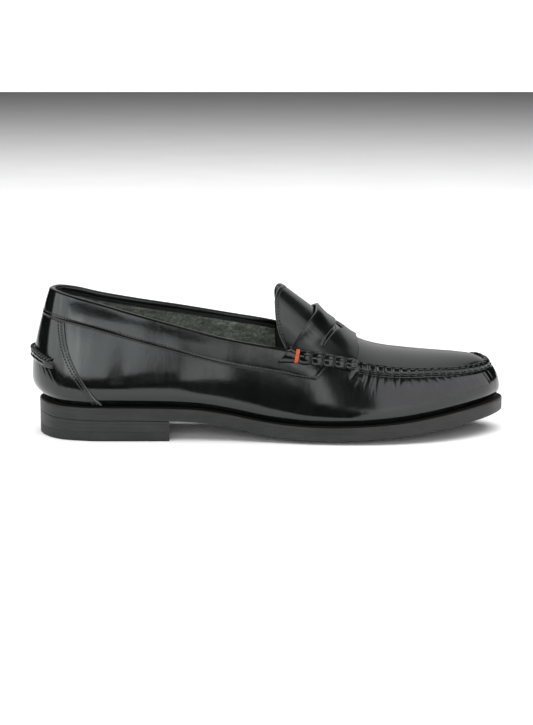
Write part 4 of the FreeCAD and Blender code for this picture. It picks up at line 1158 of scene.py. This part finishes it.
def winding(side, middle, turns, radius, pitch):
    """Thread wound round a roll, its ends tucked in underneath."""
    angle = np.linspace(-0.6 * np.pi, 2 * np.pi * turns - 0.4 * np.pi, int(44 * turns))
    u = middle + (angle / (2 * np.pi) - turns / 2) * pitch
    rear, along, sideways, up = roll_frame(side)
    tuck = 0.9 * (bell(angle - angle[0], 0.5) + bell(angle - angle[-1], 0.5))
    reach = profile(ROLL_WAVE, np.array([middle]))[0] - 0.80 + 1.1 * radius - tuck
    slanted = u + ROLL_SLANT * np.sin(angle) * reach * (1 - smooth_step(0.0, ROLL_SLANT_LONG, u))
    return (
        rear + slanted[:, None] * along + (np.cos(angle) * reach * 0.95)[:, None] * sideways
        + (np.sin(angle) * reach)[:, None] * up
    )


def make_windings():
    """Three turns of orange thread and four ties of black thread round each roll."""
    orange = [winding(side, ORANGE_AT, 3, 0.40, 0.74) for side in ROLL_ENDS]
    tubes(
        "beefroll_orange_winding", orange, 0.40, ORANGE, 10,
        replaces=["roll_thread_orange"], slot="orange_thread",
    )
    black = [winding(side, at, 2, 0.42, 1.0) for side in ROLL_ENDS for at in BLACK_AT]
    tubes(
        "beefroll_black_windings", black, 0.39, BLACK_THREAD, 10,
        replaces=["roll_thread_black"], slot="black_thread",
    )


# ------------------------------------------------------------------ collar, counter, heel roll

# x of the collar's ends at its lower edge and at its top, and how far in its stitches run.
COLLAR_LOW_X, COLLAR_HIGH_X = 26.6, 36.0
STITCH_INSIDE, COLLAR_PITCH = 2.5, 2.25
# Rows of points of the collar: depths of its outer face, angles of its rolled rim, then depth and
# offset of its hidden back, first inside the top line and then between the band and the wall.
COLLAR_DEPTHS = [
    15.5, 15.46, 15.3, 15.0, 14.6, 14.2, 13.9, 13.7, 13.4, 13.0, 12.3, 11.0, 9.0, 7.0, 5.0, 3.5,
    2.2, 1.2, 0.5, 0.0,
]
COLLAR_SKIN = GAP + COVER
COLLAR_INNER = -LEATHER - GAP - LINING - 0.2
COLLAR_RIM = np.radians([15.0, 35.0, 58.0, 82.0, 106.0, 130.0, 152.0, 172.0])
COLLAR_BACK = [
    (0.8, COLLAR_INNER + 0.05), (2.0, COLLAR_INNER + 0.3), (3.0, -LEATHER - 0.2), (2.0, GAP * 0.5),
    (7.0, GAP * 0.5), (12.0, GAP * 0.5), (15.4, GAP * 0.3),
]
KNOT_X = -95.5


def collar_t(a, share):
    """t along the collar for a 0 to 1; share is 0 at its lower edge and 1 at its top."""
    x_end = COLLAR_LOW_X + (COLLAR_HIGH_X - COLLAR_LOW_X) * share
    outer_end, inner_end = station_at(x_end, -1), station_at(x_end, 1) - TURN
    return outer_end + (inner_end - outer_end) * a


def collar_v(t, share):
    """v at that share of the collar's height."""
    low = below_top(t, COLLAR_DEPTH)
    return low + (wall_top(t) - low) * share


def make_collar():
    """Band folded over the top line: its outer face, its rounded rim and its hidden back."""
    a = np.concatenate([[0.0, 0.0008, 0.002], np.linspace(0.0045, 0.9955, 420), [0.998, 0.9992, 1.0]])
    end = np.minimum(a, 1 - a) * 400.0
    rows = []
    for depth in COLLAR_DEPTHS:
        share = 1 - depth / COLLAR_DEPTH
        t = collar_t(a, share)
        from_edge = COLLAR_DEPTH - depth
        out = COLLAR_SKIN - rounded(np.minimum(from_edge, end), 0.5)
        out = out - 0.05 * bell(from_edge - STITCH_INSIDE, 0.40)
        out = out + 0.22 * bell(from_edge - 0.75, 0.5)
        out = out + 0.20 * bell(depth - 8.0, 5.0) - 0.12 * bell(end - 1.7, 0.5)
        out = out + 0.10 * soft_waves(wall_base(t, 0.8), 13.0)
        rows.append(wall(t, collar_v(t, share), out))
    t = collar_t(a, 1.0)
    top = wall_top(t)
    normal = wall_normal(t, top)
    up = unit(UP - normal * normal[:, 2:])
    middle, radius = (COLLAR_SKIN + COLLAR_INNER) / 2, (COLLAR_SKIN - COLLAR_INNER) / 2
    centre = wall(t, top, middle)
    wave = 0.10 * soft_waves(centre, 13.0)
    for angle in COLLAR_RIM:
        reach = normal * ((radius + wave) * math.cos(angle))[:, None]
        rows.append(centre + reach + up * (radius * 0.72 * math.sin(angle)))
    for depth, out in COLLAR_BACK:
        share = 1 - depth / COLLAR_DEPTH
        t = collar_t(a, share)
        rows.append(wall(t, collar_v(t, share), out))
    points = np.stack(rows, 1)
    count, deep = points.shape[:2]
    faces = grid_faces(count, deep).tolist()
    closing = np.arange(count) * deep
    near, far = closing[:-1], closing[1:]
    faces += np.stack([near, far, far + deep - 1, near + deep - 1], -1).tolist()
    faces += [list(range(deep)), list(range((count - 1) * deep, count * deep))[::-1]]
    piece("collar_leather", points, faces, [BLACK], replaces=["collar_band"])
    make_collar_stitches()


def make_collar_stitches():
    """A row along the collar's lower edge, one up each end, and the knot near the heel."""

    def row(a, share, out):
        t = collar_t(a, share)
        v = collar_v(t, share)
        return machine_stitches(wall(t, v, out), wall_normal(t, v), COLLAR_PITCH)

    rows = [row(np.linspace(0.004, 0.996, 1600), STITCH_INSIDE / COLLAR_DEPTH, COLLAR_SKIN - 0.22)]
    for a_end in (0.0045, 0.9955):
        rows.append(row(a_end, np.linspace(0.13, 0.86, 60), COLLAR_SKIN - 0.1))
    t_knot = station_at(KNOT_X, -1)
    v_knot = below_top(t_knot, COLLAR_DEPTH - STITCH_INSIDE - 0.3)
    turn = np.linspace(0, 2 * np.pi, 10)
    knot = []
    for k in range(3):
        loop_t = t_knot + 0.012 * np.cos(turn) + 0.02 * (k - 1)
        loop_v = v_knot + 0.012 * np.sin(turn + k)
        knot.append(wall(loop_t, loop_v, COLLAR_SKIN + 0.25 + 0.25 * np.sin(turn * 2 + k)))
    rows.append((knot, [wall_normal(t_knot, v_knot)] * len(knot)))
    machine_seam("collar_stitches", rows)


# The counter cover's front edge: z and x of its points, and how far in its two rows of stitches run.
COUNTER_ROWS = (1.7, 4.0)
COUNTER_EDGE = [
    (20.0, -105.0), (33.0, -115.6), (45.0, -123.3), (55.0, -128.0), (66.0, -130.8), (80.0, -132.0),
]


def counter_end_at(v, side):
    """t of the counter cover's front edge at that v, one side of the heel."""

    def is_behind(t):
        here = wall_base(t if side < 0 else TURN - t, v)
        return here[..., 0] < profile(COUNTER_EDGE, here[..., 2])

    return -side * last_true(np.full(v.shape, 0.2), np.full(v.shape, 5.0), is_behind)


COUNTER_V = np.linspace(0.0, 1.0, 400)
COUNTER_T = {side: counter_end_at(COUNTER_V, side) for side in (-1, 1)}


def counter_place(a, b, out):
    """A point of the cover: a goes round the heel and b up it, to the collar's lower edge."""
    t = np.zeros_like(a)
    for _ in range(4):
        v = 0.03 + (below_top(t, COLLAR_DEPTH + 0.3) - 0.03) * b
        first, last = (np.interp(v, COUNTER_V, COUNTER_T[side]) for side in (-1, 1))
        t = first + (last - first) * a
    return wall(t, v, out)


def make_counter():
    """The heel's cover, with gathers below the heel roll and two rows of stitches at each side."""

    def relief(base):
        run = run_length(base, 0)
        from_side = np.minimum(run, run[-1] - run)
        rows = bell(from_side - COUNTER_ROWS[0], 0.4) + bell(from_side - COUNTER_ROWS[1], 0.4)
        roll_z = HEEL_ROLL_BACK - 6.0 * np.clip((base[..., 1] / 26.0) ** 2, 0, 1.4)
        under = roll_z - 3.4 - base[..., 2]
        pucker = np.sin(run * 1.55) + 0.5 * np.sin(run * 2.7 + 1.0)
        below = np.maximum(under, 0.0)
        gathered = np.exp(-below / 2.4) * (under > 0) * smooth_step(8.0, 14.0, from_side)
        gathered = gathered * (1 - np.exp(-below / 0.6))
        lift = -0.07 * rows + 0.10 * bell(from_side - 0.75, 0.45)
        lift = lift - 0.13 * gathered * np.clip(pucker, -0.2, 1.5)
        return lift + 0.08 * soft_waves(base, 12.0)

    sheet(
        "counter_leather", counter_place, (95.0, 48.0), (150, 70), COLLAR_SKIN, GAP, [BLACK, CUT_EDGE],
        edge=0.5, relief=relief, replaces=["heel_counter_cover"],
    )
    rows = []
    b = np.linspace(0.02, 0.985, 160)
    a = np.linspace(0.0, 0.08, 30)
    for side in (0, 1):
        near = counter_place(*np.meshgrid(a if side == 0 else 1 - a, b, indexing="ij"), 0.0)
        run = run_length(near, 0)
        for inside in COUNTER_ROWS:
            a_line = np.array([np.interp(inside, run[:, k], a) for k in range(len(b))])
            a_line = a_line if side == 0 else 1 - a_line
            points = counter_place(a_line, b, COLLAR_SKIN - 0.2)
            normals = unit(counter_place(a_line, b, 3.0) - points)
            rows.append(machine_stitches(points, normals, pitch=2.1))
    machine_seam("counter_stitches", rows)


# The heel roll: t of its ends, z of its middle at the back, how far it drops to its ends, half its
# height, and how far apart its stitches are.
HEEL_ROLL_END, HEEL_ROLL_BACK, HEEL_ROLL_DROP = 1.9, 52.6, 5.6
HEEL_ROLL_HALF, HEEL_ROLL_PITCH = 3.3, 2.6


def heel_roll_point(t, rise, out):
    """A point over the heel: rise is measured from the roll's middle line."""
    middle = HEEL_ROLL_BACK - HEEL_ROLL_DROP * (t / HEEL_ROLL_END) ** 2
    v = (middle + rise - feather_height(t)) / wall_height(t)
    return wall(t, v, out), wall_normal(t, v)


def make_heel_roll():
    """Two piped ridges under a rope of twisted stitches, gathered in at both ends."""
    t = np.linspace(HEEL_ROLL_END, -HEEL_ROLL_END, 170)
    ends = np.clip((HEEL_ROLL_END - np.abs(t)) / 0.35, 0.0, 1.0) ** 0.6
    angle = np.linspace(0.0, 2 * np.pi, 41)[:-1]
    skin = 2 * GAP + COVER
    rises = HEEL_ROLL_HALF * np.sin(angle) * 0.98
    share = np.clip((rises + HEEL_ROLL_HALF) / (2 * HEEL_ROLL_HALF), 0, 1)
    bumps = np.abs(np.sin(share * np.pi * 2.5)) ** 0.6
    outer_half = 0.35 + 2.0 * np.sqrt(np.clip(np.cos(angle), 0, 1)) * (0.62 + 0.38 * bumps)
    outs = np.where(np.cos(angle) > 0, outer_half, -0.3)
    points = []
    for k in range(len(angle)):
        wave = 0.05 * np.sin(t * 17.0 + 2 * rises[k]) * (np.cos(angle[k]) > 0)
        out = skin - 0.5 + (outs[k] + 0.5) * ends + wave
        points.append(heel_roll_point(t, rises[k] * (0.45 + 0.55 * ends), out)[0])
    points = np.stack(points, 1)
    faces = ring_faces(*points.shape[:2])
    piece("heel_roll_leather", points, faces, [ROLL_LEATHER], replaces=["heel_roll"])

    paths, ups = [], []
    fine = np.linspace(HEEL_ROLL_END - 0.06, -HEEL_ROLL_END + 0.06, 900)
    line = heel_roll_point(fine, 2.1, skin + 1.45)[0]
    at = even_places(line, HEEL_ROLL_PITCH)
    middle_t = np.interp(at, np.arange(len(fine)), fine)
    steps = np.linspace(-1.0, 1.0, 9)
    for t_here in middle_t[1:-1]:
        t_path = t_here - 0.085 * steps
        rise = 2.45 - 1.15 * steps
        arch = np.sqrt(np.clip(1 - steps ** 2, 0, 1))
        path, normal = heel_roll_point(t_path, rise, skin + 0.9 + 1.25 * arch)
        paths.append(path)
        ups.append(normal[4])
    tubes("heel_roll_stitches", paths, 0.72, BLACK_THREAD, 8, ups, slot="black_thread")


# ------------------------------------------------------------------ linings

# x where the quarter's and the vamp's linings meet, t of the stiffener's ends, x of the puff's,
# and how far below the facing's edge its stitches run.
LINING_SPLIT_X, STIFFENER_REACH, PUFF_REAR_X, FACING_STITCH_INSIDE = 2.0, 4.1, 106.0, 1.2


def lining_depth(t, v):
    """How far the linings lie inside the wall's outer face: deeper over the hidden boards."""
    x = wall_base(t, v)[..., 0]
    above = smooth_step(0.02, 0.14, v - below_top(t, COLLAR_DEPTH + 3.0))
    over_heel = (1 - smooth_step(-82.0, -50.0, x)) * (1 - above)
    return LEATHER + GAP + (LINING + GAP) * np.maximum(over_heel, smooth_step(82.0, 100.0, x))


def quarter_t(a):
    """t along the quarter's lining, from the outer split round the heel to the inner one."""
    first, last = station_at(LINING_SPLIT_X, -1), station_at(LINING_SPLIT_X, 1) - TURN
    return first + (last - first) * a


def facing_low(t):
    """v of the facing's lower edge."""
    return below_top(t, FACING_DEPTH)


def make_stiffeners():
    """Moulded board behind the heel and round the toe, between the wall and the lining."""
    outer = LEATHER + GAP

    def heel(a, b, out):
        t = STIFFENER_REACH * (1 - 2 * a)
        return wall(t, 0.05 + (below_top(t, COLLAR_DEPTH + 3.0) - 0.05) * b, out - outer)

    def toe(a, b, out):
        first, last = station_at(PUFF_REAR_X, -1), station_at(PUFF_REAR_X, 1)
        return wall(first + (last - first) * a, 0.18 + 0.66 * b, out - outer)

    def grain(base):
        return 0.05 * soft_waves(base, 7.0)

    sheet(
        "stiffener_board", heel, (150.0, 38.0), (80, 30), -0.06, -LINING, [BOARD], edge=0.3,
        relief=grain, replaces=["heel_stiffener"], slot="insole_board",
    )
    sheet(
        "puff_board", toe, (120.0, 20.0), (80, 20), -0.06, -LINING, [BOARD], edge=0.3,
        relief=grain, replaces=["toe_puff"], slot="insole_board",
    )


def make_linings():
    """Facing, quarter and vamp linings, and the facing's row of stitches."""

    def facing(a, b, out):
        t = quarter_t(a)
        v = facing_low(t) + (wall_top(t) - 0.012 - facing_low(t)) * b
        return wall(t, v, -lining_depth(t, v) - out)

    def quarter(a, b, out):
        t = quarter_t(a)
        v = 0.12 + (facing_low(t) - 0.3 / wall_height(t) - 0.12) * b
        return wall(t, v, -lining_depth(t, v) - out)

    def vamp(a, b, out):
        first, last = (station_at(LINING_SPLIT_X + 0.8, side) for side in (-1, 1))
        t = first + (last - first) * a
        under_roll = (1 - wall_top(t)) * wall_height(t) / ROLL_ROOM
        near_split = 0.5 * (1 - smooth_step(10.0, 20.0, on_loop(TOP_LOOP, t)[..., 0]))
        high = wall_top(t) - 0.10 + (0.10 + 4.4 / wall_height(t)) * np.maximum(under_roll, near_split)
        v = 0.16 + (high - 0.16) * b
        return wall(t, v, -lining_depth(t, v) - out)

    def ripple(base):
        return 0.12 * soft_waves(base, 9.0)

    def facing_relief(base):
        run = run_length(base, 1)
        return -0.2 * bell(run - FACING_STITCH_INSIDE, 0.35) + 0.05 * soft_waves(base, 9.0)

    sheet(
        "collar_facing_leather", facing, (390.0, 4.0), (260, 14), LINING, 0.0, [FACING], edge=0.35,
        relief=facing_relief, replaces=["collar_facing"], slot="facing_leather",
    )
    sheet(
        "quarter_lining_suede", quarter, (390.0, 50.0), (200, 40), LINING, 0.0, [SUEDE], edge=0.3,
        relief=ripple, replaces=["quarter_lining"], slot="suede_lining",
    )
    sheet(
        "vamp_lining_leather", vamp, (300.0, 28.0), (160, 24), LINING, 0.0, [DARK_LINING], edge=0.3,
        relief=ripple, replaces=["vamp_lining"], slot="dark_lining",
    )
    make_stiffeners()
    a = np.linspace(0.002, 0.998, 1500)
    t = quarter_t(a)
    v = facing_low(t) + FACING_STITCH_INSIDE / wall_height(t)
    under = -lining_depth(t, v) - LINING
    row = machine_stitches(wall(t, v, under + 0.1), -wall_normal(t, v), pitch=2.4)
    machine_seam("facing_stitches", [row], 0.24, BLACK_THREAD)


# ------------------------------------------------------------------ sole and heel


def midsole_floor(x):
    """Height of the seam between midsole and outsole."""
    return profile(SOLE_TOP, x) - MIDSOLE


def outsole_floor(x, y):
    """Height of the tread, domed at the ball and clear of the floor."""
    across = np.clip(((y - ridge_y(x)) / 50.0) ** 2, 0.0, 1.6)
    crown = CROWN * profile(TREAD_CROWN, x) * (1 - across)
    return np.maximum(midsole_floor(x) - OUTSOLE - np.maximum(crown, -1.0), 0.02)


# Shares of the way in to the middle line at which a slab has more rings of points.
SLAB_SHARES = (0.97, 0.8, 0.6, 0.4, 0.2)


def slab(name, outline, low, high, edge, insets, spine, materials, kinds=None, **kind):
    """A layer of the bottom. low(x, y) and high(x, y) are its faces, and spine is its middle
    line: the x of its ends, and its y. edge lists inset and share of the height for its rim,
    from below up. insets lists the rings next to the rim, and how far each rises out of the
    lower face. kinds is the material of each row of the rim; then the lower face has the
    second material and the upper face the last one."""
    middle_x = np.clip(outline[:, 0], *spine[0])
    inward = np.column_stack([middle_x, spine[1](middle_x)]) - outline[:, :2]
    reach = np.linalg.norm(inward, axis=1, keepdims=True)
    inward = inward / reach

    def ring(inset, share, rise=0.0):
        place = outline[:, :2] + inward * inset
        bottom, top = low(*place.T), high(*place.T)
        return np.column_stack([place, bottom + (top - bottom) * share + rise])

    far = insets[-1][0]
    levels = [ring(far + (reach - far) * share, 0.0) for share in SLAB_SHARES]
    levels += [ring(inset, 0.0, rise) for inset, rise in insets[::-1]]
    first_rim = len(levels)
    levels += [ring(inset, share) for inset, share in edge]
    rim_end = len(levels)
    levels += [ring(inset, 1.0) for inset, rise in insets]
    levels += [ring(far + (reach - far) * share, 1.0) for share in SLAB_SHARES[::-1]]
    around = len(outline)
    slots = None
    if kinds:
        row_kind = np.ones(len(levels) - 1, int)
        row_kind[first_rim - 1:rim_end] = kinds
        row_kind[rim_end:] = len(materials) - 1
        slots = np.concatenate([np.repeat(row_kind, around), [1, 0]])
    piece(name, np.stack(levels), ring_faces(len(levels), around), materials, slots, **kind)


WHOLE = ((-112.0, 108.0), lambda x: profile(SOLE_MIDDLE, x))
HEEL = ((-112.0, -100.0), lambda x: 0 * x)


def waist_t(x, inset, side):
    """t where the inset sole edge passes x behind the waist, negative on the inner side."""
    t = np.linspace(0.0, WAIST, 2000)
    return -side * np.interp(x, sole_edge(-side * t, inset)[:, 0], t)


def heel_outline(inset):
    """The sole's edge round the heel, closed by the hollow breast."""
    outer_end = waist_t(BREAST_X, inset, -1)
    inner_end = waist_t(BREAST_X - BREAST_SLANT, inset, 1)
    t = np.linspace(outer_end, inner_end, 180)
    rim = sole_edge(t, inset)[:, :2]
    turn = np.linspace(0.0, 1.0, 40)[1:-1]
    breast = rim[-1] + (rim[0] - rim[-1]) * turn[:, None]
    breast[:, 0] -= BREAST_HOLLOW * 4 * turn * (1 - turn)
    return np.vstack([rim, breast])


def make_bottom():
    """Midsole with a rounded top edge, and outsole with a stitching channel in its tread."""
    outline = sole_edge(np.linspace(0, TURN, 701)[:-1], 0.0)
    insets = [(0.8, 0.0), (1.6, 0.0), (3.0, 0.0), (5.0, 0.0), (7.0, 0.0)]
    round_top = [
        (0.02, 0.0), (0.006, 0.03), (0.0, 0.08), (0.0, 0.4), (0.0, 0.66), (0.06, 0.80), (0.2, 0.91),
        (0.42, 0.98),
    ]
    # The midsole's upper face, the welt's top under the upper's tuck, takes the last material:
    # near-black painted shade.
    slab(
        "midsole_edge", outline, lambda x, y: midsole_floor(x), lambda x, y: profile(SOLE_TOP, x),
        round_top, insets, WHOLE, [SOLE_EDGE, SOLE_FACE, SOLE_BROWN, SHADE_BLACK],
        [0, 0, 0, 0, 0, 0, 0, 2, 2], replaces=["midsole"], slot="sole_leather",
    )
    round_under = [
        (0.22, 0.03), (0.08, 0.10), (0.02, 0.22), (0.0, 0.45), (0.0, 0.93), (0.006, 0.97), (0.02, 1.0),
    ]
    channel = [
        (1.3, 0.0), (3.0, 0.0), (4.3, 0.0), (4.7, 0.35), (5.0, 0.5), (5.3, 0.35), (5.7, 0.0), (7.0, 0.0),
    ]
    slab(
        "outsole_leather", outline, outsole_floor, lambda x, y: midsole_floor(x) - 0.02, round_under,
        channel, WHOLE, [SOLE_EDGE, SOLE_FACE], [0] * 8, replaces=["outsole"], slot="sole_leather",
    )


def make_heel():
    """Rubber top piece and three leather lifts, the uppermost cut to the outsole's slope."""
    flat = [(0.8, 0.0), (2.0, 0.0), (5.0, 0.0)]
    soft = [(0.02, 0.01), (0.006, 0.05), (0.0, 0.2), (0.0, 0.8), (0.006, 0.95), (0.02, 0.99)]
    rubber_edge = [
        (0.55, 0.01), (0.18, 0.05), (0.0, 0.13), (0.0, 0.5), (0.0, 0.94), (0.02, 0.98), (0.08, 0.995),
    ]
    heights = [0.0, TOP_PIECE, TOP_PIECE + LIFT, TOP_PIECE + 2 * LIFT]
    names = ["top_piece", "heel_lift_1", "heel_lift_2", "heel_lift_3"]
    for k, name in enumerate(names):
        last = k == len(names) - 1
        rubber = k == 0

        def floor(x, y, k=k):
            return heights[k] + 0 * x

        def roof(x, y, k=k, last=last):
            return midsole_floor(x) - OUTSOLE - 0.05 if last else heights[k + 1] - 0.02 + 0 * x

        slab(
            name + "_edge", heel_outline(0.12 - 0.03 * k), floor, roof,
            rubber_edge if rubber else soft, flat, HEEL, [RUBBER if rubber else HEEL_EDGE],
            replaces=[name], slot="rubber" if rubber else "heel_leather",
        )


def make_sock():
    """Full sock over the insole and heel pad, raised at the heel and faintly rippled."""
    inset = UPPER_INSET + LEATHER + 2.4
    outline = sole_edge(np.linspace(0, TURN, 401)[:-1], inset)

    def floor(x, y):
        insole = profile(SOLE_TOP, x) + LEATHER + 2 * GAP + 2.0 + GAP
        return insole + 2.2 * (1 - smooth_step(-92.0, -70.0, x))

    def roof(x, y):
        return floor(x, y) + 1.4 + 0.05 * np.sin(x / 7.0) * np.cos(y / 6.0)

    edge = [(0.1, 0.1), (0.0, 0.4), (0.05, 0.7), (0.2, 0.92)]
    slab(
        "sock_leather", outline, floor, roof, edge, [(0.6, 0.0), (2.0, 0.0), (5.0, 0.0)], WHOLE,
        [SOCK], replaces=["sock_liner"], slot="sock_leather",
    )


# ------------------------------------------------------------------ stage, lights, camera


def place_metres(x, y, z):
    """A place in the shoe's frame, in metres in the row frame."""
    return (Vector((x, y, z)) + Vector(SHIFT)) * MM


FLOOR_HALF, CARD_HEIGHT = 4.0, 0.0008
SEEN_WORLD, DIM_WORLD = 1.2, 0.008
# A black card on the floor in front of the shoe, seen only in reflections.
FLOOR_CARD = [
    (-2.5, -0.27), (-0.11, -0.26), (-0.075, -0.20), (-0.045, -0.12), (0.0, -0.085), (0.055, -0.085),
    (0.10, -0.30), (0.13, -3.0), (-2.5, -3.0),
]


def flat_card(name, corners, material, height=0.0):
    """A flat sheet on the floor with the given corners in metres."""
    mesh = bpy.data.meshes.new(name)
    mesh.from_pydata([(x, y, height) for x, y in corners], [], [tuple(range(len(corners)))])
    mesh.materials.append(material)
    card = bpy.data.objects.new(name, mesh)
    bpy.context.scene.collection.objects.link(card)
    return card


def paper(name, dark, light, size, rough, shine):
    """Matte paper between two greys."""
    n = Nodes(name)
    colour = n.colours(n.noise(size[0], size[1], 0.5), [(0.3, (dark,) * 3), (0.7, (light,) * 3)])
    return n.finish(colour, rough, None, Specular_IOR_Level=shine)


def make_stage():
    """The pale floor, the black card, and a world that is white to the camera and dim to the shoe."""
    half = FLOOR_HALF
    pale = paper("pale_floor", 0.90, 0.93, (9.0, 3.0), 0.9, 0.1)
    flat_card("floor", [(-half, -half), (half, -half), (half, half), (-half, half)], pale)
    black = paper("black_card", 0.001, 0.002, (30.0, 2.0), 1.0, 0.0)
    card = flat_card("floor_card", FLOOR_CARD, black, CARD_HEIGHT)
    card.visible_camera = False
    card.visible_diffuse = False
    card.visible_shadow = False

    world = bpy.data.worlds.new("studio")
    bpy.context.scene.world = world
    world.use_nodes = True
    tree = world.node_tree
    seen = tree.nodes.new("ShaderNodeLightPath")
    mix = tree.nodes.new("ShaderNodeMixShader")
    white = tree.nodes.new("ShaderNodeBackground")
    dim = tree.nodes["Background"]
    for node, strength in ((white, SEEN_WORLD), (dim, DIM_WORLD)):
        node.inputs["Color"].default_value = (1, 1, 1, 1)
        node.inputs["Strength"].default_value = strength
    tree.links.new(seen.outputs["Is Camera Ray"], mix.inputs[0])
    tree.links.new(dim.outputs[0], mix.inputs[1])
    tree.links.new(white.outputs[0], mix.inputs[2])
    tree.links.new(mix.outputs[0], tree.nodes["World Output"].inputs[0])


LIGHTS_AIM = (0.0, 0.0, 0.04)


def soft_box(name, size, place, radiance, reflected=True):
    """A rectangular softbox of that radiance, in metres: it is either seen in reflections or
    lights the matte side of surfaces, never both."""
    data = bpy.data.lights.new(name, "AREA")
    data.shape = "RECTANGLE"
    data.size, data.size_y = size
    data.energy = radiance * math.pi * size[0] * size[1]
    lamp = bpy.data.objects.new(name, data)
    lamp.location = place
    lamp.rotation_euler = (Vector(LIGHTS_AIM) - Vector(place)).to_track_quat("-Z", "Y").to_euler()
    lamp.visible_glossy = reflected
    lamp.visible_diffuse = not reflected
    bpy.context.scene.collection.objects.link(lamp)
    return lamp


def toward(azimuth, elevation, distance):
    """A place in metres seen from the shoe: azimuth 0 is its outer side and 90 its toe."""
    azimuth, elevation = math.radians(azimuth), math.radians(elevation)
    flat = distance * math.cos(elevation)
    high = LIGHTS_AIM[2] + distance * math.sin(elevation)
    return (flat * math.sin(azimuth), -flat * math.cos(azimuth), high)


# Reflected boxes: azimuth and elevation of the middle, width and height, all in degrees, then
# radiance and colour. A box is cut into pieces of about BOX_STEP so that it bends round the shoe.
REFLECTED = {
    "box_left": (-50.7, 16.2, 82.6, 20.5, 2.35, (0.93, 1.0, 0.985)),
    "box_core": (-38.0, 14.0, 19.0, 18.0, 1.4, (0.95, 1.0, 0.99)),
    "box_heart": (-38.0, 14.0, 9.0, 13.0, 3.4, (0.95, 1.0, 0.99)),
    "box_patch": (-2.6, 11.0, 7.2, 25.0, 2.1, (0.95, 1.0, 0.985)),
    "box_right": (59.0, 9.0, 92.0, 33.0, 1.75, (0.98, 0.965, 1.0)),
    "box_upper_right": (52.0, 51.0, 80.0, 22.0, 1.15, (1.0, 0.99, 1.0)),
}
BOX_DISTANCE, BOX_STEP = 1.5, 20.0


def make_lights():
    """Two fills that only light, boxes that only show in reflections, and one behind the shoe."""
    soft_box("overhead_fill", (3.6, 3.6), (0.0, 0.0, 1.8), 2.75, reflected=False)
    soft_box("front_fill", (2.0, 0.9), (0.0, -1.7, 0.55), 4.2, reflected=False)
    for name, (azimuth, elevation, wide, high, radiance, colour) in REFLECTED.items():
        steps = max(1, round(wide / BOX_STEP))
        each = wide / steps
        for k in range(steps):
            place = toward(azimuth - wide / 2 + each * (k + 0.5), elevation, BOX_DISTANCE)
            size = [2 * BOX_DISTANCE * math.tan(math.radians(angle / 2)) for angle in (each, high)]
            soft_box("%s_%d" % (name, k), size, place, radiance).data.color = colour
    soft_box("behind", (1.9, 2.2), toward(180.0, 36.0, 1.7), 0.64)


CAMERA_PITCH = math.radians(10.5)
CAMERA_DISTANCE = 1.35
CAMERA_AIM = (-3.36, 0.0, 44.79)
PIXELS_PER_MM = 1.548
IMAGE_HEIGHT = 725


def make_camera():
    data = bpy.data.cameras.new("camera")
    data.sensor_fit = "VERTICAL"
    data.sensor_height = 24.0
    data.lens = data.sensor_height * PIXELS_PER_MM * CAMERA_DISTANCE / MM / IMAGE_HEIGHT
    data.clip_end = 50.0
    camera = bpy.data.objects.new("camera", data)
    back = Vector((0.0, -math.cos(CAMERA_PITCH), math.sin(CAMERA_PITCH)))
    camera.location = place_metres(*CAMERA_AIM) + back * CAMERA_DISTANCE
    camera.rotation_euler = (math.pi / 2 - CAMERA_PITCH, 0.0, 0.0)
    bpy.context.scene.collection.objects.link(camera)
    bpy.context.scene.camera = camera


make_wall()
make_seam()
make_apron()
make_tongue()
make_strap()
for roll_side in ROLL_ENDS:
    make_roll(roll_side)
make_windings()
make_collar()
make_counter()
make_heel_roll()
make_linings()
make_bottom()
make_heel()
make_sock()
make_awl_holes()
make_stage()
make_lights()
make_camera()
bpy.context.scene.view_settings.view_transform = "Standard"
